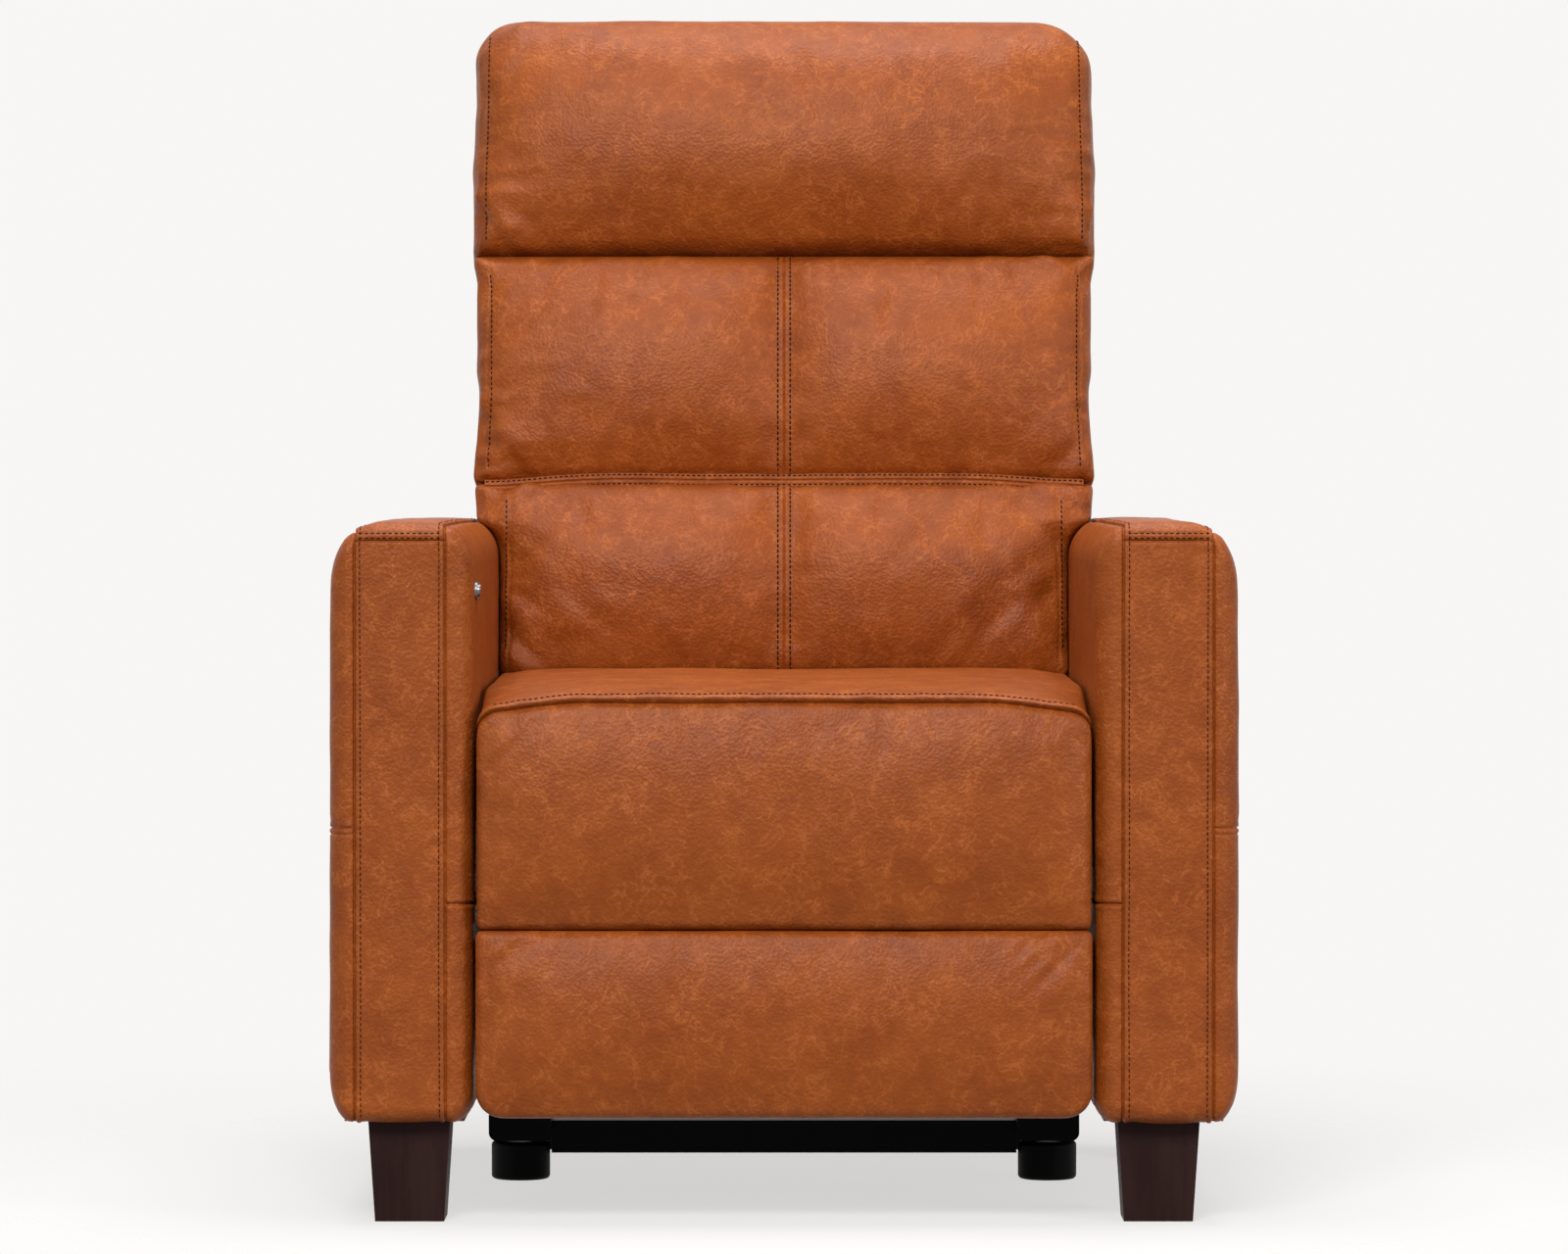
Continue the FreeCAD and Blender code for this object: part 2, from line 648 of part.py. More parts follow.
def link(kind, side, sign):
    layer, pivots = LINKS[kind]
    ends = (pivots[0], pivots[-1])
    outlines = [(ends, "link_half_width")]
    if kind == "outer_link":
        outlines = [((pivots[0], pivots[1]), "link_half_width"), ((pivots[1], pivots[2]), "link_half_width")]
    holes = [(place, "pin_hole") for place in pivots]
    x_low = across(sign, layer + "_layer_in", layer + "_layer_out")[0]
    label = "%s_%s" % (kind, side)
    return keep(label, plate(label, outlines, holes, x_low, "link_thickness"))


def footrest_bracket(side, sign):
    outline = (("footrest_pivot_y", "footrest_pivot_z"), ("toe_y", "toe_z"),
               ("bracket_front_y", "bracket_low_z"), ("bracket_front_y", "bracket_high_z"))
    outline = outline[::-1] if turns_clockwise(outline) else outline
    holes = [(("footrest_pivot_y", "footrest_pivot_z"), "pin_hole"), (("toe_y", "toe_z"), "pin_hole")]
    x_low = across(sign, "middle_layer_in", "middle_layer_out")[0]
    label = "footrest_bracket_" + side
    return keep(label, plate(label, [(outline, "link_half_width")], holes, x_low, "link_thickness"))


def turns_clockwise(corners):
    points = [(value(a), value(b)) for a, b in corners]
    area = sum(p[0] * q[1] - q[0] * p[1] for p, q in zip(points, points[1:] + points[:1]))
    return area < 0


def pins(label, rivets):
    # plain rivets through two layers; plate pins carry a collar that fills the space beside the plate
    parts = []
    for side, sign in SIDES:
        for index, (kind, place) in enumerate(rivets):
            parts.append(kind("%s_%s%d" % (label, side, index), sign, place))
    group(label, parts)


def plate_pin(name, sign, place):
    shank = rod(name + "_shank", "x", across(sign, "middle_layer_in - pin_head", "plate_out"), place, "pin_radius")
    collar = rod(name + "_collar", "x", across(sign, "middle_layer_out + collar_gap", "plate_in - collar_gap"),
                 place, "collar_radius")
    head = rod(name + "_head", "x", across(sign, "middle_layer_in - pin_head", "middle_layer_in - collar_gap"),
               place, "collar_radius")
    return fuse(name, shank, collar, head)


def hinge_pin(name, sign, place):
    return rod(name, "x", across(sign, "outer_layer_in", "plate_out"), place, "pin_radius")


def outer_pin(name, sign, place):
    return rod(name, "x", across(sign, "middle_layer_in", "outer_layer_out"), place, "pin_radius")


def inner_pin(name, sign, place):
    shank = rod(name + "_shank", "x", across(sign, "inner_layer_in - pin_head", "middle_layer_out"),
                place, "pin_radius")
    head = rod(name + "_head", "x", across(sign, "inner_layer_in - pin_head", "inner_layer_in - collar_gap"),
               place, "collar_radius")
    return fuse(name, shank, head)


def torque_tube():
    # the cross tube between the front links, with two crank plates that the drive pushes
    half = "middle_layer_in"
    place = ("tube_y", "tube_z")
    outer = rod("torque_outer", "x", ("- ( %s )" % half, half), place, "torque_tube_radius")
    inner = rod("torque_inner", "x", ("- ( %s )" % half, half), place, "torque_tube_radius - tube_wall")
    return keep("torque_tube", cut("torque_tube", outer, inner))


def slotted_lug(drive_name, centre, pivot, root, hole=None):
    # a pair of plates that hang from root, with a slot on a ray from the pivot for the pin of the drive
    pivot_point, root_point = (vector(0, value(a), value(b)) for a, b in (pivot, root))
    angle = math.radians(value(drive_name + "_slot_angle"))
    lead, stroke = value(drive_name + "_drive_lead"), value(drive_name + "_drive_stroke")
    drop = pivot_point.z - value("drive_z")
    ray = vector(0, math.sin(angle), -math.cos(angle))
    near = pivot_point + ray * (drop - value("slot_end_margin"))
    far = pivot_point + ray * (math.hypot(max(lead, stroke - lead), drop) + value("slot_end_margin"))
    half = value("lug_half_width")
    slot = value("pin_radius") + value(drive_name + "_slot_play")
    shapes = []
    for sign in (-1, 1):
        start = centre + min(sign * value("lug_in"), sign * value("lug_out"))
        run = vector(value("lug_thickness"), 0, 0)
        arm = hull_face(start, root_point, far, half).extrude(run)
        wide = hull_face(start, near, far, half).extrude(run)
        solid = arm.fuse(wide).removeSplitter()
        solid = solid.cut(hull_face(start, near, far, slot).extrude(run))
        if hole:
            middle = vector(start, root_point.y, root_point.z)
            solid = solid.cut(Part.makeCylinder(value(hole), run.x, middle, vector(1, 0, 0)))
        shapes.append(solid)
    return shapes


def back_lugs():
    return slotted_lug("back", value("drive_x"), ("back_hinge_y", "back_hinge_z"), ("back_rail_y", "back_rail_z"))


def hull_face(x, first, second, radius):
    # the outline round two equal circles in the YZ plane at x
    a, b = vector(x, first.y, first.z), vector(x, second.y, second.z)
    along = (b - a).normalize()
    side = vector(0, -along.z, along.y) * radius
    edges = [
        Part.LineSegment(a - side, b - side).toShape(),
        Part.Arc(b - side, b + along * radius, b + side).toShape(),
        Part.LineSegment(b + side, a + side).toShape(),
        Part.Arc(a + side, a - along * radius, a - side).toShape(),
    ]
    return Part.Face(Part.Wire(edges))


def feature(label, shape):
    obj = doc.addObject("Part::Feature", label)
    obj.Shape = shape
    obj.Placement = FreeCAD.Placement()
    return keep(label, obj)


# Drives: a fixed tube with gearbox and motor, and a rod with a cross pin at its tip

def drive(label, centre, mouth, blind, tip, tail):
    # mouth and blind are the ends of the tube; the rod runs from its tail inside the tube to its tip
    cross, z = value("drive_cross_y"), value("drive_z")
    radius, half = value("drive_tube_radius"), value("gearbox_size") / 2
    outward = math.copysign(1, centre)
    line = vector(0, math.copysign(1, value(mouth) - value(blind)), 0)
    length = abs(value(mouth) - value(blind))
    tube = Part.makeCylinder(radius, length, vector(centre, value(blind), z), line)
    gearbox = Part.makeBox(2 * half, 2 * half, half + radius, vector(centre - half, cross - half, z - radius))
    motor = Part.makeCylinder(value("motor_radius"), value("motor_length"),
                              vector(centre + outward * half, cross, z), vector(outward, 0, 0))
    end = value("drive_tube_end")
    bore = Part.makeCylinder(value("drive_rod_radius") + value("drive_bore_clearance"), length,
                             vector(centre, value(blind), z) + line * end, line)
    feature(label + "_motor", tube.fuse([gearbox, motor]).removeSplitter().cut(bore))
    reach = value("lug_out") + value("lug_gap")
    run = abs(value(tip) - value(tail)) + value("drive_rod_radius")
    shaft = Part.makeCylinder(value("drive_rod_radius"), run, vector(centre, value(tail), z), line)
    cross_pin = Part.makeCylinder(value("pin_radius"), 2 * reach, vector(centre - reach, value(tip), z),
                                  vector(1, 0, 0))
    feature(label + "_rod", shaft.fuse(cross_pin).removeSplitter())


# Soft solids: lofts through loops of lines and arcs

def loop(corners, rounds, bulges, place):
    # corners run anticlockwise; each side bows outward by its bulge, each corner is an arc
    count = len(corners)
    flat = [vector(a, b, 0) for a, b in corners]
    sides = []
    for i in range(count):
        a, b = flat[i], flat[(i + 1) % count]
        along = (b - a).normalize()
        normal = vector(along.y, -along.x, 0)
        start = a + along * rounds[i]
        end = b - along * rounds[(i + 1) % count]
        sides.append((start, (start + end) * 0.5 + normal * bulges[i], end))
    edges = []
    for i in range(count):
        start, middle, end = sides[i]
        if abs(bulges[i]) < 0.01:
            edges.append(Part.LineSegment(place(start), place(end)).toShape())
        else:
            edges.append(Part.Arc(place(start), place(middle), place(end)).toShape())
        if rounds[(i + 1) % count] > 0.01:
            corner = flat[(i + 1) % count]
            after = sides[(i + 1) % count][0]
            chord = (end + after) * 0.5
            turn = corner + (chord - corner) * (2 - math.sqrt(2))
            edges.append(Part.Arc(place(end), place(turn), place(after)).toShape())
    return Part.Wire(edges)


def loft(wires):
    return Part.makeLoft(wires, True, True)


def roll_steps(radius):
    # how far in the outline stands at a few distances behind a rolled edge
    steps = []
    for share in (0.0, 0.15, 0.5, 1.0):
        steps.append((share * radius, radius - math.sqrt(radius ** 2 - (radius - share * radius) ** 2)))
    return steps


def arm_shape():
    inner, outer = value("arm_inner"), value("arm_outer") - value("arm_side_bulge")
    low, high = value("leg_height"), value("arm_shoulder_height")
    front, rear = value("arm_front_y"), value("arm_rear_y")
    rounds = [value(n) for n in ("arm_low_round", "arm_low_round", "arm_outer_round", "arm_inner_round")]
    roll = value("arm_roll")
    stations = [(front + run, inset) for run, inset in roll_steps(roll)]
    stations += [(rear - run, inset) for run, inset in reversed(roll_steps(value("rear_padding")))]
    wires = []
    for y, inset in stations:
        corners = [(inner + inset, low), (outer - inset, low),
                   (outer - inset, high - inset), (inner + inset, high - inset)]
        corner_rounds = [max(r - inset, r / 3) for r in rounds]
        bulges = [0, value("arm_side_bulge"), value("arm_crown"), 0]
        wires.append(loop(corners, corner_rounds, bulges, lambda p, y=y: vector(p.x, y, p.y)))
    return loft(wires)


def arm_cover(side, sign):
    shape = arm_shape()
    span = (value("frame_in"), value("frame_out"))
    size = vector(span[1] - span[0], value("frame_rear") - value("frame_front"), value("frame_top"))
    shape = shape.cut(Part.makeBox(size.x, size.y, size.z, vector(span[0], value("frame_front"), 0)))
    for y, z in ARM_BOLTS:
        hole = Part.makeCylinder(value("arm_bolt_hole"), value("frame_in") - value("plate_in"),
                                 vector(value("plate_in"), value(y), value(z)), vector(1, 0, 0))
        shape = shape.cut(hole)
    if sign < 0:
        shape = shape.mirror(vector(), vector(1, 0, 0))
        for y in ("button_front_y", "button_rear_y"):
            depth = value("inner_padding") - value("button_clearance")
            well = Part.makeCylinder(value("button_hole") + value("button_flange"), depth,
                                     vector(-value("arm_inner"), value(y), value("switch_z")), vector(-1, 0, 0))
            shape = shape.cut(well)
    return feature("arm_cover_" + side, shape)


def pillow_stations(half, inset):
    # distance from the middle and how far the outline is drawn in there
    ends = [(half, inset), (half - 0.15 * inset, 0.5 * inset), (half - 0.6 * inset, 0.2 * inset),
            (half - 1.8 * inset, 0.05 * inset), (half - 4 * inset, 0), (half - 8 * inset, -0.06 * inset)]
    return [(-x, i) for x, i in ends] + [(0, -0.1 * inset)] + [(x, i) for x, i in reversed(ends)]


def seat_cushion():
    half = value("seat_half_width")
    low = value("seat_frame_top") + value("seat_bottom_gap")
    board = value("front_board_y") + value("soft_gap")
    front = value("seat_front_y") + value("front_bulge")
    seam = value("seat_seam_height") + value("panel_gap") / 2
    rear = value("seat_rear_y")
    rear_top = seam + value("seat_rear_lift")
    rounds = [0.05 * (seam - low), 0.16 * (seam - low), 0.12 * (seam - low), 0.05 * (seam - low)]
    wires = []
    for x, inset in pillow_stations(half, value("cushion_inset")):
        pull = max(inset, 0) * 0.6
        corners = [(board + pull, low + 0.2 * pull), (rear - pull, low + 0.2 * pull), (rear - pull, rear_top - pull),
                   (front + pull, seam)]
        crown = value("seat_crown") - 0.6 * inset
        wires.append(loop(corners, rounds, [0, 3, crown, 0], lambda p, x=x: vector(x, p.x, p.y)))
    return feature("seat_cushion", loft(wires))


def front_panel(label, half, front, rear, low, slope_low, high, slope_high):
    # an upright pad with its flat side to the rear; slopes drop or lift its rear corners
    wires = []
    for x, inset in pillow_stations(half, value("cushion_inset")):
        pull = max(inset, 0)
        corners = [(front + 0.5 * pull, low + pull), (rear, low + slope_low + 0.2 * pull),
                   (rear, high - slope_high - 0.2 * pull), (front + 0.5 * pull, high - pull)]
        bulge = value("front_bulge") - 0.3 * inset
        wires.append(loop(corners, [14, 3, 3, 14], [0, 0, 0, bulge], lambda p, x=x: vector(x, p.x, p.y)))
    return feature(label, loft(wires))


def seat_front_pad():
    low = value("front_pad_low")
    high = value("seat_seam_height") - value("panel_gap") / 2
    rear = value("front_board_y") - value("soft_gap")
    top_at_board = value("seat_frame_top")
    return front_panel("seat_front_pad", value("seat_half_width"), value("seat_front_y") + value("front_bulge"), rear,
                       low, 0, high, high - top_at_board)


def footrest_pad():
    return front_panel("footrest_pad", value("footrest_half_width"), value("footrest_front_y") + value("front_bulge"),
                       value("board_front_y") - value("soft_gap"),
                       value("footrest_low"), value("board_margin") / 2, value("footrest_top"), value("board_margin") / 2)


def on_back(across_x, depth, height):
    # a point of the tilted back: depth runs from the front to the rear, height runs up the back
    tilt = math.radians(value("back_tilt"))
    return vector(across_x,
                  value("back_foot_y") + depth * math.cos(tilt) + height * math.sin(tilt),
                  value("back_foot_z") - depth * math.sin(tilt) + height * math.cos(tilt))


def back_loop(half, front, rear, height, corner, crown, crease):
    # a level section of a back pad; the crease draws the front in at the middle
    def place(p):
        return on_back(p.x, p.y, height)
    if crease > 0:
        corners = [(-half, front), (0, front + crease), (half, front), (half, rear), (-half, rear)]
        return loop(corners, [corner, 0, corner, 4, 4], [crown, crown, 2, 0, 2], place)
    corners = [(-half, front), (half, front), (half, rear), (-half, rear)]
    return loop(corners, [corner, corner, 4, 4], [crown, 2, 0, 2], place)


def back_pad(label, stations, crease):
    # stations give height, half width and front depth
    wires = []
    for height, half, front, crown in stations:
        wires.append(back_loop(half, front, value("pad_depth"), height, 24, crown, crease))
    return feature(label, loft(wires))


def back_pads():
    gap = value("seam_half_gap")
    crown = value("back_crown")
    crease = value("centre_crease")
    inset = value("cushion_inset")
    low, seam, head, top = 0, value("lower_seam"), value("head_seam"), value("back_top")
    narrow, wide, widest = (value(n) for n in ("lower_half_width", "middle_half_width", "head_half_width"))
    flare = value("flare_start") - 20
    back_pad("lower_cushion", [
        (low, narrow - inset, inset, crown / 3), (low + 0.6 * inset, narrow - 0.3 * inset, 0.3 * inset, crown / 2),
        (low + 2.5 * inset, narrow, 0, crown), (0.5 * seam, narrow, 0, crown),
        (flare, narrow + 2, 0, crown), (seam - inset, wide - 6, 0.15 * inset, crown),
        (seam - gap - 0.2 * inset, wide - 8, 0.4 * inset, crown / 2),
        (seam - gap, wide - 14, 0.8 * inset, crown / 3)], crease)
    back_pad("mid_cushion", [
        (seam + gap, wide - 12, 0.8 * inset, crown / 3), (seam + gap + 0.4 * inset, wide - 4, 0.3 * inset, crown / 2),
        (seam + 2 * inset, wide, 0, crown), (0.5 * (seam + head), wide + 2, -0.3 * crown, crown),
        (head - 2 * inset, wide, 0, crown), (head - gap - 0.5 * inset, wide - 5, 0.3 * inset, crown / 2),
        (head - gap, wide - 14, 0.9 * inset, crown / 3)], crease)
    bulge = value("head_bulge")
    back_pad("head_cushion", [
        (head + gap, widest - 14, 0.4 * inset, crown / 3),
        (head + gap + 0.5 * inset, widest - 4, -0.4 * bulge, crown / 2),
        (head + 2.2 * inset, widest, -0.9 * bulge, crown), (0.5 * (head + top), widest, -bulge, crown),
        (top - 4 * inset, widest - 2, -0.8 * bulge, crown), (top - 1.4 * inset, widest - 12, 0, crown),
        (top - 0.4 * inset, widest - 26, 1.2 * inset, crown / 2), (top, widest - 46, 2.6 * inset, crown / 3)], 0)


def back_box(half, depth, height):
    # a block in the tilted frame of the back
    block = Part.makeBox(2 * half, depth[1] - depth[0], height[1] - height[0])
    block.Placement = FreeCAD.Placement(on_back(-half, depth[0], height[0]),
                                        FreeCAD.Rotation(vector(1, 0, 0), -value("back_tilt")))
    return block


def back_frame():
    half = value("back_frame_half")
    depth = (value("back_frame_front"), value("back_frame_rear"))
    low, top, member = value("back_frame_low"), value("back_frame_top"), value("back_member")
    shape = back_box(half, depth, (low, top))
    through = (depth[0] - 1, depth[1] + 1)
    middle = value("lower_seam")
    for bottom, ceiling in ((low + member, middle - member / 2), (middle + member / 2, top - member)):
        shape = shape.cut(back_box(half - member, through, (bottom, ceiling)))
    for sign in (-1, 1):
        for reach in ("bracket_bolt", "bracket_end"):
            shape = shape.cut(bracket_bolt_solid(sign, reach, value("arm_bolt_hole"), 0))
    for lug in back_lugs():
        shape = shape.cut(lug)
    return feature("back_frame", shape)


def bracket_bolt_solid(sign, reach, radius, head):
    start = vector(sign * (value("outer_layer_out") if head else value("outer_layer_out") + 1),
                   value(reach + "_y"), value(reach + "_z"))
    length = value("outer_layer_out") - value("back_frame_half") + value("arm_bolt_depth") / 2
    length += 0 if head else 1
    return Part.makeCylinder(radius, length, start, vector(-sign, 0, 0))


def back_bolts():
    solids = [bracket_bolt_solid(sign, reach, value("arm_bolt_radius"), 1)
              for sign in (-1, 1) for reach in ("bracket_bolt", "bracket_end")]
    feature("back_bolts", Part.makeCompound(solids))


def back_cover():
    narrow, wide, widest = value("cover_half"), value("middle_half_width"), value("head_half_width")
    front, rear = value("pad_depth") + value("soft_gap"), value("cover_rear")
    inset, top = value("cushion_inset"), value("back_top")
    stations = [(value("cover_low"), narrow, rear - inset), (value("cover_low") + inset, narrow, rear - 4),
                (value("flare_start"), narrow, rear), (value("flare_end"), wide - 1, rear),
                (value("head_seam"), wide + 1, rear), (value("head_seam") + 3 * inset, widest - 2, rear),
                (top - 4 * inset, widest - 3, rear), (top - 1.4 * inset, widest - 13, rear - 3),
                (top - 0.4 * inset, widest - 27, rear - 10), (top, widest - 48, rear - 24)]
    wires = []
    for height, half, back in stations:
        corners = [(-half, front), (half, front), (half, back), (-half, back)]
        round_ = value("cover_round")
        wires.append(loop(corners, [4, 4, round_, round_], [0, 0, 5, 0],
                          lambda p, height=height: on_back(p.x, p.y, height)))
    shape = loft(wires)
    half = value("back_frame_half")
    shape = shape.cut(back_box(half, (front - 5, rear - value("cover_panel")),
                               (value("cover_low") - 5, value("back_frame_top"))))
    skirt = back_box(half, (rear - value("cover_panel"), rear - inset), (value("skirt_low"), value("cover_low")))
    shape = shape.fuse(skirt).removeSplitter()
    for sign in (-1, 1):
        for reach in ("bracket_bolt", "bracket_end"):
            shape = shape.cut(bracket_bolt_solid(sign, reach, value("arm_bolt_hole"), 0))
    return feature("back_cover", shape)


def back_bracket(side, sign):
    outline = (("back_hinge_y", "back_hinge_z"), ("bracket_end_y", "bracket_end_z"))
    holes = [(("back_hinge_y", "back_hinge_z"), "pin_hole"), (("bracket_bolt_y", "bracket_bolt_z"), "arm_bolt_hole"),
             (("bracket_end_y", "bracket_end_z"), "arm_bolt_hole")]
    label = "back_bracket_" + side
    return keep(label, plate(label, [(outline, "link_half_width")], holes,
                             across(sign, "outer_layer_in", "outer_layer_out")[0], "link_thickness"))


def wave_spring(start, end, side):
    # one sinuous wire: runs across joined by half turns, with a bent straight tail at each end
    pitch, swing, bend = value("spring_pitch"), value("spring_amplitude"), value("spring_bend")
    length = (end - start).Length
    along = (end - start).normalize()
    turns = int((length - pitch) // pitch)
    turns -= turns % 2
    here = start + along * ((length - turns * pitch) * 0.5)
    diagonal = bend * (1 - math.sqrt(0.5))
    edges = [Part.LineSegment(start, here - along * bend).toShape()]
    turn = here + (side - along) * diagonal
    edges.append(Part.Arc(here - along * bend, turn, here + side * bend).toShape())
    here = here + side * bend
    reach = side
    for index in range(turns):
        axis_point = start + along * ((length - turns * pitch) * 0.5 + index * pitch)
        tip = axis_point + reach * swing
        edges.append(Part.LineSegment(here, tip).toShape())
        crown = tip + (along + reach) * (pitch / 2)
        edges.append(Part.Arc(tip, crown, tip + along * pitch).toShape())
        here = tip + along * pitch
        reach = reach * -1
    last = end - along * ((length - turns * pitch) * 0.5)
    edges.append(Part.LineSegment(here, last - side * bend).toShape())
    turn = last + (along - side) * diagonal
    edges.append(Part.Arc(last - side * bend, turn, last + along * bend).toShape())
    edges.append(Part.LineSegment(last + along * bend, end).toShape())
    return Part.Wire(edges)


# Switch on the inner face of the left arm, and the power inlet

def switch():
    corners = (("bezel_front_y", "switch_z"), ("bezel_rear_y", "switch_z"))
    holes = [(("button_front_y", "switch_z"), "button_hole"), (("button_rear_y", "switch_z"), "button_hole")]
    keep("switch_bezel", plate("switch_bezel", [(corners, "bezel_half_height")], holes,
                               "- arm_inner", "bezel_thickness"))
    for label, y in (("open_button", "button_front_y"), ("close_button", "button_rear_y")):
        face = "- arm_inner + bezel_thickness + button_proud"
        stem = rod(label + "_stem", "x", ("- arm_inner - button_clearance", face), (y, "switch_z"), "button_radius")
        flange = rod(label + "_flange", "x", ("- arm_inner - button_clearance - button_flange",
                                              "- arm_inner - button_clearance"),
                     (y, "switch_z"), "button_radius + button_flange - button_clearance")
        keep(label, fuse(label, stem, flange))


def power_inlet():
    x = ("inlet_x - inlet_width / 2", "inlet_x + inlet_width / 2")
    rear = "rear_tube_y + rear_tube_depth"
    z = ("rail_low + 2", "rail_low + 2 + inlet_height")
    block = box("inlet_block", x, (rear, rear + " + inlet_depth"), z)
    recess = box("inlet_recess", (x[0] + " + inlet_wall", x[1] + " - inlet_wall"),
                 (rear + " + inlet_wall", rear + " + inlet_depth"), (z[0] + " + inlet_wall", z[1] + " - inlet_wall"))
    keep("power_inlet", cut("power_inlet", block, recess))


def seat_frame():
    half = "seat_frame_half"
    x = ("- " + half, half)
    deck = box("seat_deck", x, ("seat_frame_front", "seat_frame_rear_y"), ("seat_frame_low", "seat_frame_top"))
    window = box("seat_window", ("- ( %s - seat_member )" % half, "%s - seat_member" % half),
                 ("seat_frame_front + seat_member", "seat_frame_rear_y - seat_member"),
                 ("seat_frame_low", "seat_frame_top"))
    board = box("seat_board", x, ("front_board_y", "seat_frame_front"), ("front_pad_low", "seat_frame_top"))
    keep("seat_frame", fuse("seat_frame", cut("seat_ring", deck, window), board))


def spread(count, width):
    # the middles of equal lanes across a width
    return [width * ((index + 0.5) / count - 0.5) for index in range(count)]


def springs(label, rows):
    # each row gives its lanes and the middle points of the two members the wires are held by
    radius, gap = value("spring_radius"), value("spring_end_gap")
    along, across_wire = vector(0, 1, 0), vector(1, 0, 0)
    solids = []
    for lanes, start, end in rows:
        length = (end - start).Length
        path = wave_spring(along * gap, along * (length - gap), across_wire)
        edge = path.Edges[0]
        profile = Part.Wire([Part.makeCircle(radius, edge.valueAt(edge.FirstParameter), along)])
        wire = path.makePipeShell([profile], True, False)
        for lane in lanes:
            copy = wire.copy()
            copy.Placement = FreeCAD.Placement(start + across_wire * lane, FreeCAD.Rotation(along, end - start))
            solids.append(copy)
    feature(label, Part.makeCompound(solids))


def build():
    for side, sign in SIDES:
        arm_frame(side, sign)
        arm_cover(side, sign)
        base_rail(side, sign)
        side_plate(side, sign)
        for end in ("front", "rear"):
            leg(end, side, sign)
        for kind in LINKS:
            link(kind, side, sign)
        footrest_bracket(side, sign)
        back_bracket(side, sign)
    leg_bolts()
    arm_bolts()
    base_feet()
    cross_tube("base_front_tube", "rail_in",
               ("front_tube_y - front_tube_depth / 2", "front_tube_y + front_tube_depth / 2"),
               ("front_tube_low", "front_tube_low + front_tube_height"))
    cross_tube("base_rear_tube", "rail_in", ("rear_tube_y", "rear_tube_y + rear_tube_depth"),
               ("rail_low", "rail_top"))
    cross_tube("drive_cross_tube", "plate_in",
               ("drive_cross_y - drive_cross_size / 2", "drive_cross_y + drive_cross_size / 2"),
               ("cross_low", "cross_top"))
    pins("plate_pins", [(plate_pin, ("swing_pivot_y", "swing_pivot_z")),
                        (plate_pin, ("rear_pivot_y", "rear_pivot_z")),
                        (hinge_pin, ("back_hinge_y", "back_hinge_z"))])
    pins("front_link_pins", [(outer_pin, ("elbow_y", "elbow_z")), (inner_pin, ("tail_y", "tail_z"))])
    pins("outer_link_pins", [(outer_pin, ("heel_y", "heel_z")),
                             (outer_pin, ("footrest_pivot_y", "footrest_pivot_z"))])
    pins("footrest_pins", [(inner_pin, ("toe_y", "toe_z"))])
    torque_tube()
    board = box("footrest_board", ("- board_half", "board_half"), ("board_front_y", "front_board_y"),
                ("board_low", "board_top"))
    keep("footrest_board", board)
    footrest_pad()
    seat_frame()
    seat_cushion()
    seat_front_pad()
    back_frame()
    back_pads()
    back_cover()
    back_bolts()
    switch()
    power_inlet()
    drive("footrest", -value("drive_x"), "footrest_tube_front_y", "footrest_tube_rear_y",
          "footrest_tip_y", "footrest_rod_tail")
    drive("back", value("drive_x"), "back_tube_rear_y", "back_tube_front_y", "back_tip_y", "back_rod_tail")
    crank = slotted_lug("footrest", -value("drive_x"), ("swing_pivot_y", "swing_pivot_z"), ("tube_y", "tube_z"),
                        "tube_hole")
    feature("footrest_crank", Part.makeCompound(crank))
    feature("back_lugs", Part.makeCompound(back_lugs()))
    spring_z = value("seat_frame_top") - value("spring_radius") - 1
    seat_lanes = spread(5, 2 * (value("seat_frame_half") - value("seat_member")))
    springs("seat_springs", [(seat_lanes, vector(0, value("seat_frame_front") + value("seat_member"), spring_z),
                              vector(0, value("seat_frame_rear_y") - value("seat_member"), spring_z))])
    member, middle, depth = value("back_member"), value("lower_seam"), value("back_frame_middle")
    back_lanes = spread(4, 2 * (value("back_frame_half") - member))
    springs("back_springs", [
        (back_lanes, on_back(0, depth, value("back_frame_low") + member), on_back(0, depth, middle - member / 2)),
        (back_lanes, on_back(0, depth, middle + member / 2), on_back(0, depth, value("back_frame_top") - member))])


def check_and_write():
    doc.recompute()
    for obj in doc.Objects:
        if "Invalid" in obj.State or "Error" in obj.State:
            raise RuntimeError("%s failed: %s" % (obj.Label, obj.State))
    for label, obj in nodes.items():
        if obj.Shape.isNull() or not obj.Shape.isValid() or not obj.Shape.Solids:
            raise RuntimeError(label + " has no valid shape")
    os.makedirs("parts", exist_ok=True)
    for label, obj in nodes.items():
        obj.Shape.exportStep("parts/%s.step" % label)
    print(len(nodes), "nodes")


build()
check_and_write()
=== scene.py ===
import math
import bmesh
import bpy
import numpy as np
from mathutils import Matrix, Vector
from mathutils.bvhtree import BVHTree


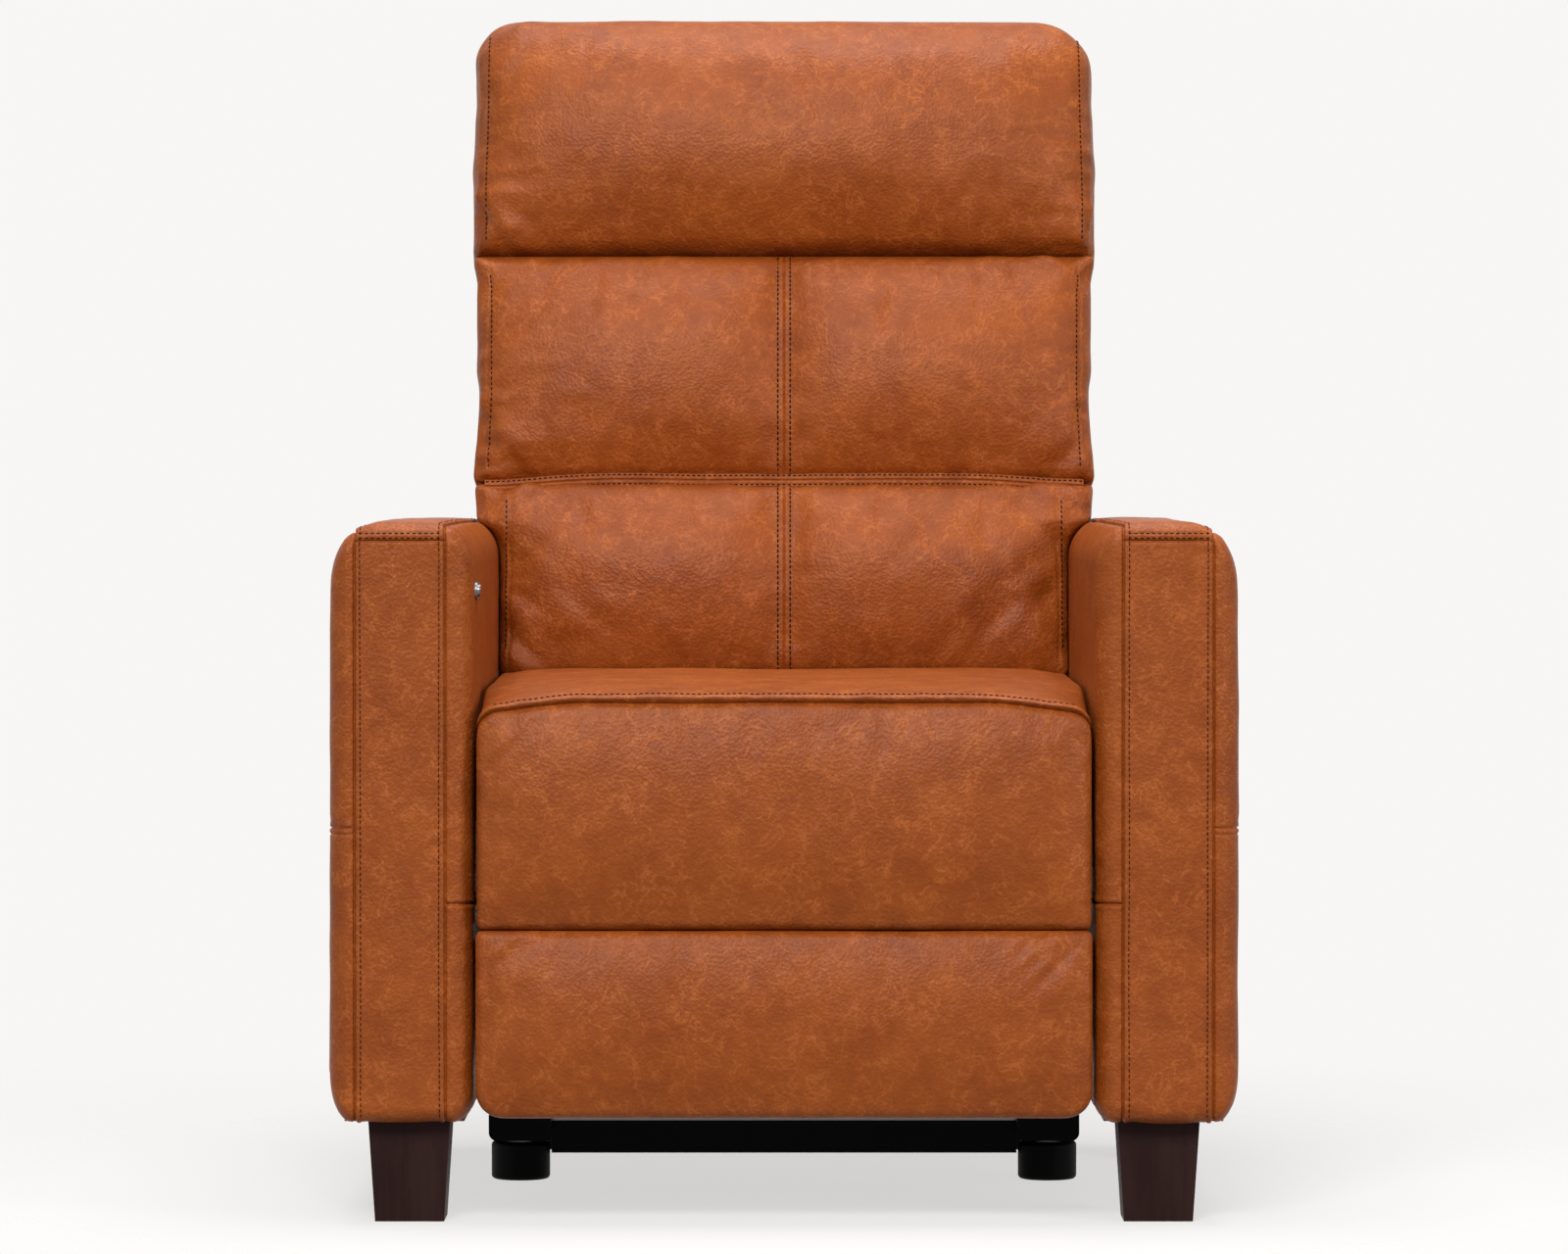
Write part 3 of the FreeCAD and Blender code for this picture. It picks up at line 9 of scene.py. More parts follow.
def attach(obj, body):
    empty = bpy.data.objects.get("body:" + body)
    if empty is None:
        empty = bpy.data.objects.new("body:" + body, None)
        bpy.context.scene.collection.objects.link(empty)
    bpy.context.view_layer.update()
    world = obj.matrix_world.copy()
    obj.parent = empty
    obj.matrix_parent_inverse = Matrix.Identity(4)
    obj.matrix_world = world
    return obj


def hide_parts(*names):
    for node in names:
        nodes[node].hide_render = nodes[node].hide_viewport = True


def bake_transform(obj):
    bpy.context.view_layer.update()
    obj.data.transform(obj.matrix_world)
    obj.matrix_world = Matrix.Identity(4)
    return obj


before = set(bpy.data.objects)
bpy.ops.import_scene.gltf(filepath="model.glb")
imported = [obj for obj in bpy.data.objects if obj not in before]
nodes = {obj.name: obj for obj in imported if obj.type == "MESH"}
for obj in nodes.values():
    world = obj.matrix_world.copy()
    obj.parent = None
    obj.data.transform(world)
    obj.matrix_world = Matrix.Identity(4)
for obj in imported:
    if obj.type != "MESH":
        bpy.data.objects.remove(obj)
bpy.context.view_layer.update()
scene = bpy.context.scene
print("frame loaded with", len(nodes), "nodes")


class Wire:
    def __init__(self, tree, socket):
        self.tree = tree
        self.socket = socket

    def add(self, kind, settings=None, output=0, **sockets):
        node = self.tree.nodes.new(kind)
        for name, value in (settings or {}).items():
            setattr(node, name, value)
        for name, value in sockets.items():
            socket = node.inputs[int(name) if name.isdigit() else name]
            if isinstance(value, Wire):
                self.tree.links.new(value.socket, socket)
            else:
                socket.default_value = value
        return Wire(self.tree, node.outputs[output])

    def math(self, operation, first, second=0.0):
        return self.add("ShaderNodeMath", {"operation": operation}, **{"0": first, "1": second})

    def __add__(self, other):
        return self.math("ADD", self, other)

    def __radd__(self, other):
        return self.math("ADD", other, self)

    def __sub__(self, other):
        return self.math("SUBTRACT", self, other)

    def __rsub__(self, other):
        return self.math("SUBTRACT", other, self)

    def __mul__(self, other):
        return self.math("MULTIPLY", self, other)

    def size(self):
        return self.math("ABSOLUTE", self)

    def between(self, low, high):  # 0 at low, 1 at high, smooth
        limits = {"From Min": low, "From Max": high}
        return self.add("ShaderNodeMapRange", {"interpolation_type": "SMOOTHSTEP"}, Value=self, **limits)

    def mixed(self, first, second):  # colours by this factor
        return self.add("ShaderNodeMix", {"data_type": "RGBA"}, 2, **{"0": self, "6": first, "7": second})


def newMaterial(name):
    material = bpy.data.materials.new(name)
    material.use_nodes = True
    tree = material.node_tree
    place = tree.nodes.new("ShaderNodeTexCoord")
    return material, Wire(tree, place.outputs["Object"]), tree.nodes["Principled BSDF"]


def feed(shader, **values):
    for name, value in values.items():
        socket = shader.inputs[name.replace("_", " ")]
        if isinstance(value, Wire):
            value.tree.links.new(value.socket, socket)
        else:
            socket.default_value = value


def cloudy(place, size, detail, roughness, distortion=0.0):
    return place.add("ShaderNodeTexNoise", {"noise_dimensions": "3D"}, Vector=place, Scale=1 / size,
                     Detail=detail, Roughness=roughness, Distortion=distortion)


def bumped(height, strength, distance):
    return height.add("ShaderNodeBump", Height=height, Strength=strength, Distance=distance)


leatherLook = {
    "deep": (0.208, 0.0415, 0.0044, 1), "middle": (0.294, 0.0665, 0.0074, 1), "light": (0.44, 0.118, 0.024, 1),
    "roughness": 0.42, "unevenShine": 0.08, "specular": 0.20, "cloudSize": 0.075, "patchSize": 0.024,
    "veins": ((0.026, 5.0, 0.026, 0.50), (0.012, 4.0, 0.036, 0.28)),  # size, detail, width and share of each
    "pebbleScale": 330.0, "poreSize": 0.0045, "bump": 0.7, "bumpDepth": 0.0009}


def makeLeather(look):
    material, place, shader = newMaterial("tanLeather")
    clouds = cloudy(place, look["cloudSize"], 4, 0.55)
    patches = cloudy(place, look["patchSize"], 5, 0.6, 0.35)
    tone = patches.between(0.28, 0.72) * 0.5 + clouds.between(0.3, 0.7) * 0.5
    base = tone.mixed(look["deep"], look["middle"])
    for size, detail, width, share in look["veins"]:
        veins = cloudy(place, size, detail, 0.58, 0.5)
        veinLine = 1 - (veins - 0.5).size().between(0.0, width)
        base = (veinLine * patches.between(0.30, 0.60) * share).mixed(base, look["light"])
    pebbles = place.add("ShaderNodeTexVoronoi", {"feature": "F1"}, Vector=place, Scale=look["pebbleScale"],
                        Randomness=1.0)
    grain = pebbles * 0.7 + cloudy(place, look["poreSize"], 4, 0.6) * 0.8
    feed(shader, Base_Color=base, Roughness=look["roughness"] + clouds * look["unevenShine"],
         Normal=bumped(grain, look["bump"], look["bumpDepth"]), Specular_IOR_Level=look["specular"])
    return material


def makePlain(name, colour, roughness, grainSize, grain=0.05, tint=0.25, metallic=0.0, specular=0.5):
    material, place, shader = newMaterial(name)
    speckle = cloudy(place, grainSize, 4, 0.6)
    dark = tuple(c * (1 - tint) for c in colour) + (1,)
    light = tuple(min(1, c * (1 + tint)) for c in colour) + (1,)
    feed(shader, Base_Color=speckle.mixed(dark, light), Roughness=roughness + (speckle - 0.5) * 0.12,
         Normal=bumped(speckle, grain, 0.0005), Metallic=metallic, Specular_IOR_Level=specular)
    return material


def makeWood(name, dark, light, roughness, stretch):  # the grain runs where the stretch is small
    material, place, shader = newMaterial(name)
    drawn = place.add("ShaderNodeVectorMath", {"operation": "MULTIPLY"}, **{"0": place, "1": stretch})
    fibre = cloudy(drawn, 0.05, 6, 0.65, 0.4)
    rings = cloudy(drawn, 0.22, 3, 0.5, 1.0)
    tone = (fibre * 0.65 + rings * 0.45).between(0.3, 0.8)
    feed(shader, Base_Color=tone.mixed(dark, light), Roughness=roughness + fibre * 0.15,
         Normal=bumped(fibre, 0.12, 0.0006), Specular_IOR_Level=0.08)
    return material


leather = makeLeather(leatherLook)
thread = makePlain("darkThread", (0.022, 0.007, 0.003), 0.7, 0.001, specular=0.1)
finishes = {
    "leather": leather,
    "frame_wood": makeWood("sawnTimber", (0.16, 0.095, 0.05, 1), (0.30, 0.19, 0.10, 1), 0.6, (6, 0.5, 6)),
    "leg_wood": makeWood("espressoWood", (0.014, 0.0052, 0.0045, 1), (0.030, 0.0130, 0.0115, 1), 0.45,
                         (5, 5, 0.5)),
    "black_steel": makePlain("powderCoat", (0.0016, 0.0016, 0.0016), 0.42, 0.0016, 0.12, specular=0.05),
    "bright_steel": makePlain("zincSteel", (0.55, 0.55, 0.56), 0.34, 0.003, 0.04, 0.12, metallic=1.0),
    "black_plastic": makePlain("mattPlastic", (0.002, 0.002, 0.002), 0.5, 0.002, 0.08, specular=0.05),
    "chrome": makePlain("chrome", (0.22, 0.22, 0.225), 0.34, 0.01, 0.0, 0.03, metallic=1.0),
}
for node in nodes.values():
    slotName = node.data.materials[0].name.split(".")[0] if node.data.materials else "black_steel"
    finish = finishes.get(slotName, finishes["black_steel"])
    if node.data.materials:
        node.data.materials[0] = finish
    else:
        node.data.materials.append(finish)
print("materials done")


def hashed(cells, seed):
    mixed = np.sin(cells @ np.array([127.1, 311.7, 74.7]) + seed * 19.19) * 43758.5453
    return mixed - np.floor(mixed)


def noiseAt(points, size, seed):  # smooth, from -1 to 1
    scaled = np.asarray(points) / size
    base = np.floor(scaled)
    part = scaled - base
    part = part * part * (3 - 2 * part)
    total = np.zeros(len(scaled))
    for corner in range(8):
        offset = np.array([corner & 1, corner >> 1 & 1, corner >> 2])
        weight = np.prod(np.where(offset == 1, part, 1 - part), axis=1)
        total += weight * hashed(base + offset, seed)
    return 2 * total - 1


def ramp(value, low, high):  # 0 below low, 1 above high
    t = np.clip((value - low) / (high - low), 0, 1)
    return t * t * (3 - 2 * t)


def hump(value, width):  # 1 at 0, falling off on both sides
    return np.exp(-(value / width) ** 2)


def fading(distance, reach):  # 1 up to 0, then less and less
    return np.exp(-np.maximum(distance, 0) / reach)


def unit(vectors):
    return vectors / np.linalg.norm(vectors, axis=1)[:, None]


def meshObject(name, points, faces, material):
    mesh = bpy.data.meshes.new(name)
    mesh.from_pydata([tuple(p) for p in points], [], [tuple(f) for f in faces])
    mesh.update()
    mesh.materials.append(material)
    mesh.polygons.foreach_set("use_smooth", [True] * len(mesh.polygons))
    obj = bpy.data.objects.new(name, mesh)
    scene.collection.objects.link(obj)
    return obj


def outward(obj, weld=0.0):  # turns all faces outward, and joins points closer than weld
    mesh = bmesh.new()
    mesh.from_mesh(obj.data)
    if weld:
        bmesh.ops.remove_doubles(mesh, verts=mesh.verts, dist=weld)
    bmesh.ops.recalc_face_normals(mesh, faces=mesh.faces)
    mesh.to_mesh(obj.data)
    mesh.free()


def settle(obj):  # keeps what the modifiers made
    graph = bpy.context.evaluated_depsgraph_get()
    made = bpy.data.meshes.new_from_object(obj.evaluated_get(graph))
    obj.modifiers.clear()
    old = obj.data
    obj.data = made
    made.name = obj.name
    bpy.data.meshes.remove(old)
    made.polygons.foreach_set("use_smooth", [True] * len(made.polygons))
    made.update()


def subdivided(obj):
    finer = obj.modifiers.new("finer", "SUBSURF")
    finer.levels = finer.render_levels = 1
    settle(obj)


def vectorsOf(items, field):
    flat = np.empty(len(items) * 3, np.float32)
    items.foreach_get(field, flat)
    return flat.reshape(-1, 3).astype(float)


def pointsOf(obj):
    return vectorsOf(obj.data.vertices, "co")


def normalsOf(obj):
    return vectorsOf(obj.data.vertex_normals, "vector")


def setPoints(obj, points):
    obj.data.vertices.foreach_set("co", np.asarray(points, np.float32).ravel())
    obj.data.update()


def push(obj, amount):
    setPoints(obj, pointsOf(obj) + normalsOf(obj) * np.asarray(amount)[:, None])


def surfaceOf(*objs):
    points, faces = [], []
    for obj in objs:
        start = len(points)
        points += [v.co.copy() for v in obj.data.vertices]
        faces += [[start + k for k in p.vertices] for p in obj.data.polygons]
    return BVHTree.FromPolygons(points, faces)


def gridFaces(index):  # the four corners of each cell
    return np.stack([index[:-1, :-1], index[:-1, 1:], index[1:, 1:], index[1:, :-1]], -1).reshape(-1, 4)


def sheetFaces(rows, wide):
    return gridFaces(np.arange(rows * wide).reshape(rows, wide)).tolist()


def rimGrid(na, nb):  # a grid whose edge holds the numbers of a loop's points
    index = np.zeros((na + 1, nb + 1), int)
    index[:, 0] = np.arange(na + 1)
    index[na, :] = na + np.arange(nb + 1)
    index[::-1, nb] = na + nb + np.arange(na + 1)
    index[0, ::-1] = (2 * na + nb + np.arange(nb + 1)) % (2 * (na + nb))
    return index


def filledIn(edge, fa, fb):  # points inside a grid, from those on its edge
    a, b = fa[:, None, None], fb[None, :, None]
    inner = ((1 - b) * edge[:, :1] + b * edge[:, -1:] + (1 - a) * edge[:1] + a * edge[-1:]
             - (1 - a) * (1 - b) * edge[0, 0] - a * (1 - b) * edge[-1, 0]
             - (1 - a) * b * edge[0, -1] - a * b * edge[-1, -1])
    return inner[1:-1, 1:-1].reshape(-1, 3)


def closedShell(loops, index, fa, fb, order):  # loops of points joined one to the next and filled in at both ends
    around = len(loops[0])
    ids = np.arange(len(loops) * around).reshape(-1, around)
    ahead = np.roll(ids, -1, axis=1)
    faces = [np.stack([ids[:-1], ahead[:-1], ahead[1:], ids[1:]], -1).reshape(-1, 4)]
    points, total = list(loops), ids.size
    for end in (0, len(loops) - 1):
        inner = filledIn(loops[end][index], fa, fb)
        grid = index + end * around
        grid[1:-1, 1:-1] = total + np.arange(len(inner)).reshape(len(fa) - 2, len(fb) - 2)
        total += len(inner)
        points.append(inner)
        quads = gridFaces(grid)[:, order]
        faces.append(quads if end == 0 else quads[:, ::-1])
    return np.concatenate(points), np.concatenate(faces)


def rounded(loop, low, high, radius):  # a rectangle's loop with its corners pulled in
    limits = [np.clip(loop[:, k], low[k] + radius, high[k] - radius) for k in (0, 1)]
    centre = np.stack(limits, 1)
    away = loop - centre
    return centre + away * (radius / np.linalg.norm(away, axis=1))[:, None]


stitchLook = {"pitch": 0.005, "length": 0.0036, "radius": 0.00055, "sides": 6, "reach": (-0.5, -0.34, 0.34, 0.5),
              "thick": (0.35, 1.0, 1.0, 0.35), "sink": (-0.8, 0.4, 0.4, -0.8), "castFrom": 0.12, "leastLying": 0.3}


def evenly(path, pitch):  # points and tangents along a polyline
    path = np.asarray(path, float)
    steps = np.linalg.norm(np.diff(path, axis=0), axis=1)
    along = np.concatenate([[0], np.cumsum(steps)])
    count = max(2, int(along[-1] / pitch))
    at = (np.arange(count) + 0.5) * along[-1] / count
    behind, ahead = np.maximum(at - pitch / 2, 0), np.minimum(at + pitch / 2, along[-1])
    before, spots, after = (np.stack([np.interp(where, along, path[:, k]) for k in range(3)], 1)
                            for where in (behind, at, ahead))
    return spots, unit(after - before)


def laidOn(tree, path, direction=None):  # places for stitches on a surface
    found = []
    for spot, tangent in zip(*evenly(path, stitchLook["pitch"])):
        if direction is None:
            place, normal = tree.find_nearest(Vector(spot))[:2]
        else:
            heading = Vector(direction)
            place, normal = tree.ray_cast(Vector(spot) - heading * stitchLook["castFrom"], heading)[:2]
        if place is None:
            continue
        lying = Vector(tangent) - normal * normal.dot(Vector(tangent))
        if lying.length > stitchLook["leastLying"]:
            found.append((place, lying.normalized(), normal))
    return found


def sewn(name, body, places, length=stitchLook["length"], radius=stitchLook["radius"]):
    spot, along, up = (np.array([place[k] for place in places])[:, None, None] for k in range(3))
    beside = np.cross(up, along)
    reach, thick, sink = (np.array(stitchLook[key])[None, :, None, None] for key in ("reach", "thick", "sink"))
    sides = stitchLook["sides"]
    turn = (np.arange(sides) * math.pi / 3)[None, None, :, None]
    points = spot + along * (reach * length) + up * (sink * radius)
    points = points + (beside * np.cos(turn) + up * np.sin(turn)) * (thick * radius)
    faces = []
    for start in range(0, len(places) * 4 * sides, 4 * sides):
        for ring in range(3):
            for side in range(sides):
                a, b = start + ring * sides + side, start + ring * sides + (side + 1) % sides
                faces.append((a, b, b + sides, a + sides))
        faces.append([start + side for side in range(sides - 1, -1, -1)])
        faces.append([start + 3 * sides + side for side in range(sides)])
    obj = meshObject(name, points.reshape(-1, 3), faces, thread)
    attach(obj, body)


def seamProfile(e, strip, depth, proud):  # folded edge at 0, topstitched strip on the + side
    height = -depth * hump(e, 0.0011)
    height = height + proud * ramp(e, 0.0006, 0.0022) * (1 - ramp(e, strip - 0.001, strip + 0.003))
    return height - 0.0008 * hump(e - strip, 0.0012)


armLook = {
    "outer": 0.3935, "width": 0.124, "front": -0.430, "rear": 0.285, "low": 0.0885, "top": 0.6085,
    "corner": 0.014, "bulge": 0.0012, "outerSeam": 0.0213, "innerSeam": 0.0226, "frontSeam": 0.592,
    "sideSeam": 0.3435, "insideSeam": 0.278, "seam": (0.006, 0.0024, 0.001), "full": 0.0016,
    "frontRows": ((0.0025, 0.0006), (0.0065, 0.0005)), "sideRow": (0.0055, 0.0010), "stitchRadius": 0.0005,
    "fold": 0.0022, "sideFold": 0.0016, "lap": 0.0009, "panel": 0.0010, "gather": (0.0007, 0.007),
    "soft": (0.0010, 0.11), "fine": (0.0004, 0.03), "sag": (0.0016, 0.19), "flatSag": 0.3,
    "stepY": 0.0085, "stepZ": 0.0075, "stepX": 0.006, "outerTurn": 0.045, "innerTurn": 0.038}
# roll of each edge: across and into the depth
outerRoll = {"front": (0.0213, 0.021), "top": (0.043, 0.056), "rear": (0.018, 0.014), "bottom": (0.022, 0.040)}
innerRoll = {"front": (0.0226, 0.022), "top": (0.036, 0.036), "rear": (0.018, 0.014), "bottom": (0.020, 0.018)}
seamSteps = (0, 0.5, 1.0, 1.5, 2.1, 2.8, 3.6, 4.5, 5.4, 6.2, 7.2, 8.6, 10.5)  # mm to both sides of a seam


def refined(low, high, step, seams, edge):  # even steps, closer at both ends and round the seams
    values = list(np.linspace(low, high, int((high - low) / step) + 1))
    for end, sign in ((low, 1), (high, -1)):
        values += [end + sign * edge * k / 7 for k in range(1, 10)]
    for seam in seams:
        for offset in seamSteps:
            values += [seam - offset / 1000, seam + offset / 1000]
    values = np.array(sorted(v for v in values if low <= v <= high))
    least = 0.0004
    keep = [0]
    for k in range(1, len(values) - 1):
        if values[k] - values[keep[-1]] > least and high - values[k] > least:
            keep.append(k)
    return np.append(values[keep], high)


def rollDepth(u, across, deep):
    inside = np.clip((across - u) / across, 0, 1)
    return deep * (1 - math.sqrt(max(0.0, 1 - inside * inside)))


def loopPoints(u, fractionsY, fractionsZ):  # the arm's outline at one distance from its outer side
    look = armLook
    inset = {edge: max(rollDepth(u, *outerRoll[edge]), rollDepth(look["width"] - u, *innerRoll[edge]))
             for edge in outerRoll}
    y0, y1 = look["front"] + inset["front"], look["rear"] - inset["rear"]
    z0, z1 = look["low"] + inset["bottom"], look["top"] - inset["top"]
    ys, zs = y0 + fractionsY * (y1 - y0), z0 + fractionsZ * (z1 - z0)
    loop = [(y0, z) for z in zs[:-1]] + [(y, z1) for y in ys[:-1]]
    loop += [(y1, z) for z in zs[:0:-1]] + [(y, z0) for y in ys[:0:-1]]
    return rounded(np.array(loop), (y0, z0), (y1, z1), look["corner"])


def armLevels():  # distances from the outer side, closer in the rolls and at the seams
    look, w = armLook, armLook["width"]
    turn = np.linspace(0, math.pi / 2, 19)
    levels = [look["outerTurn"] * (1 - math.sin(t)) for t in turn]
    levels += [w - look["innerTurn"] * (1 - math.sin(t)) for t in turn]
    levels += list(refined(0.0, w, look["stepX"], (look["outerSeam"], w - look["innerSeam"]), 0.004))
    levels = np.array(sorted(levels))
    levels = levels[np.concatenate([[True], np.diff(levels) > 0.0002])]
    levels[0], levels[-1] = 0.0, w
    return levels


def armAmount(shape, u, part, sign):  # part: 0 round the edge, 1 outer side, 2 inner side
    look = armLook
    strip, full = look["seam"][0], look["full"]

    def uneven(kind, points, seed):
        height, size = look[kind]
        return height * noiseAt(points, size, seed + sign)

    out, into = u - look["outerSeam"], (look["width"] - look["innerSeam"]) - u
    band = part == 0
    lift = seamProfile(out, *look["seam"]) + seamProfile(into, *look["seam"])
    lift += full * ramp(-out, 0.0005, 0.008) + full * ramp(-into, 0.0005, 0.008)
    lift += look["panel"] * ramp(np.minimum(out, into), 0.008, 0.03)
    amount = np.where(band, lift, full)

    front = band & (out > 0) & (into > 0) & (shape[:, 1] < look["front"] + 0.016)
    e = shape[:, 2] - look["frontSeam"]
    lapped = look["lap"] * ramp(e, 0.0006, 0.002) * (1 - ramp(e, 0.008, 0.012)) - look["fold"] * hump(e, 0.0011)
    for row, depth in look["frontRows"]:
        lapped = lapped - depth * hump(e - row, 0.0011)
    amount += np.where(front, lapped, 0)

    outside = (part == 1) | (band & (out < -0.0012))
    e, (row, depth) = np.abs(shape[:, 2] - look["sideSeam"]), look["sideRow"]
    felled = 0.0003 * (ramp(e, 0.0006, 0.002) - ramp(e, 0.005, 0.009)) - look["sideFold"] * hump(e, 0.0010)
    amount += np.where(outside, felled - depth * hump(e - row, 0.0013), 0)

    inside = (part == 2) | (band & (into < -0.0012))
    e = np.abs(shape[:, 2] - look["insideSeam"])
    amount += np.where(inside, 0.0006 * hump(e - 0.0035, 0.002) - look["fold"] * hump(e, 0.0012), 0)

    close = np.exp(-np.minimum(np.abs(out - strip), np.abs(into - strip)) / 0.012) * band
    amount += close * uneven("gather", shape * (0.2, 1, 1), 3)
    amount += uneven("soft", shape, 7) + uneven("fine", shape, 11)
    sag = uneven("sag", shape * (1, 1, 0.5), 17)
    return amount + np.where(part == 1, sag, look["flatSag"] * sag)


def armStitches(side, sign, tree):
    look = armLook
    w, outer, strip = look["width"], look["outer"], look["seam"][0]
    places = []
    many = np.linspace(0, 1, 300)
    for u in (look["outerSeam"] + strip, w - look["innerSeam"] - strip):
        loop = loopPoints(u, many, many)[:3 * len(many) - 1]  # not along the bottom
        places += laidOn(tree, [(sign * (outer - u), y, z) for y, z in loop])
    low, high = outer - w + look["innerSeam"] + 0.004, outer - look["outerSeam"] - 0.004
    for rise, depth in look["frontRows"]:
        row = [(sign * x, look["front"], look["frontSeam"] + rise) for x in np.linspace(low, high, 30)]
        places += laidOn(tree, row, (0, 1, 0))
    ys = np.linspace(look["front"] + 0.02, look["rear"] - 0.012, 90)
    for rise in (-look["sideRow"][0], look["sideRow"][0]):
        row = [(sign * outer, y, look["sideSeam"] + rise) for y in ys]
        places += laidOn(tree, row, (-sign, 0, 0))
    sewn("armStitches_" + side, "base", places, radius=look["stitchRadius"])


def armPiece(side, sign):
    look = armLook
    w, low, top, start, rear = (look[key] for key in ("width", "low", "top", "front", "rear"))
    seams = (look["sideSeam"], look["insideSeam"], look["frontSeam"])
    fz = (refined(low, top, look["stepZ"], seams, 0.014) - low) / (top - low)
    fy = (refined(start, rear, look["stepY"], (), 0.014) - start) / (rear - start)
    levels = armLevels()
    loops = []
    for u in levels:
        loop = loopPoints(u, fy, fz)
        x = look["outer"] - look["bulge"] - u * (w - 2 * look["bulge"]) / w
        loops.append(np.column_stack([np.full(len(loop), sign * x), loop]))
    index = rimGrid(len(fz) - 1, len(fy) - 1).T
    points, faces = closedShell(loops, index, fy, fz, (0, 1, 2, 3))
    if sign < 0:
        faces = faces[:, ::-1]
    obj = meshObject("armLeather_" + side, points, faces.tolist(), leather)
    outward(obj)
    around, sheet = len(loops[0]), (len(fy) - 2) * (len(fz) - 2)
    u = np.concatenate([np.repeat(levels, around), np.full(sheet, 0.0), np.full(sheet, w)])
    part = np.repeat((0, 1, 2), (len(levels) * around, sheet, sheet))
    push(obj, armAmount(points * (sign, 1, 1), u, part, sign))
    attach(obj, "base")
    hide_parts("arm_cover_" + side)
    armStitches(side, sign, surfaceOf(obj))


for side, sign in (("left", -1), ("right", 1)):
    armPiece(side, sign)
print("arms done")

clothLook = {"quality": 4, "mass": 0.3, "stiffness": 7, "shear": 3, "bending": 0.25, "frames": 20}


def stuffed(obj, held, look):  # held: 1 where the leather is sewn down
    before = pointsOf(obj)
    sewnDown = obj.vertex_groups.new(name="sewnDown")
    for index in np.nonzero(held > 0.02)[0]:
        sewnDown.add([int(index)], float(held[index]), "REPLACE")
    settings = obj.modifiers.new("fill", "CLOTH").settings
    settings.quality = clothLook["quality"]
    settings.mass = clothLook["mass"]
    settings.tension_stiffness = settings.compression_stiffness = clothLook["stiffness"]
    settings.shear_stiffness = clothLook["shear"]
    settings.bending_stiffness = clothLook["bending"]
    settings.shrink_min = -look["slack"]
    settings.use_pressure = True
    settings.uniform_pressure_force = look["pressure"]
    settings.effector_weights.gravity = 0
    settings.vertex_group_mass = "sewnDown"
    for number in range(1, clothLook["frames"] + 1):
        scene.frame_set(number)
    settle(obj)
    scene.frame_set(1)
    obj.vertex_groups.clear()
    moved = pointsOf(obj) - before
    length, cap = np.linalg.norm(moved, axis=1), look["cap"]
    moved *= (cap * np.tanh(length / cap) / np.maximum(length, 1e-9))[:, None]
    setPoints(obj, before + moved)
    print(obj.name, "moved", round(float(length.max()) * 1000, 1), "mm, kept", round(cap * 1000, 1))
    subdivided(obj)


def cornerAt(a, b, middle, corners):  # radius of the corner nearest to each point
    bl, br, tr, tl = corners
    return np.where(b > middle, np.where(a > 0, tr, tl), np.where(a > 0, br, bl))


def rimDistance(a, b, look):  # how far inside the outline a point is
    middle, tall = (look["low"] + look["high"]) / 2, (look["high"] - look["low"]) / 2
    r = cornerAt(a, b, middle, look["corners"])
    qa, qb = np.abs(a) - look["half"] + r, np.abs(b - middle) - tall + r
    return r - np.hypot(np.maximum(qa, 0), np.maximum(qb, 0)) - np.minimum(np.maximum(qa, qb), 0)


def outlineAt(look, inset, fa, fb):
    x0, x1 = -look["half"] + inset, look["half"] - inset
    b0, b1 = look["low"] + inset, look["high"] - inset
    xs, bs = x0 + fa * (x1 - x0), b0 + fb * (b1 - b0)
    loop = [(x, b0) for x in xs[:-1]] + [(x1, b) for b in bs[:-1]]
    loop = np.array(loop + [(x, b1) for x in xs[:0:-1]] + [(x0, b) for b in bs[:0:-1]])
    corners = [max(r - 0.7 * inset, 0.003) for r in look["corners"]]
    r = cornerAt(loop[:, 0], loop[:, 1], (b0 + b1) / 2, corners)
    return rounded(loop, (x0, b0), (x1, b1), r)


slabLook = {"step": 0.0062, "rearRound": 0.008, "rearTurn": 0.0024, "rollRings": 7, "sideRings": 6,
            "crownDepth": 0.05, "splitNarrow": (0.34, 0.034), "splitWide": (0.10, 0.11), "splitHeld": 0.007,
            "heldRim": (0.003, 0.018)}


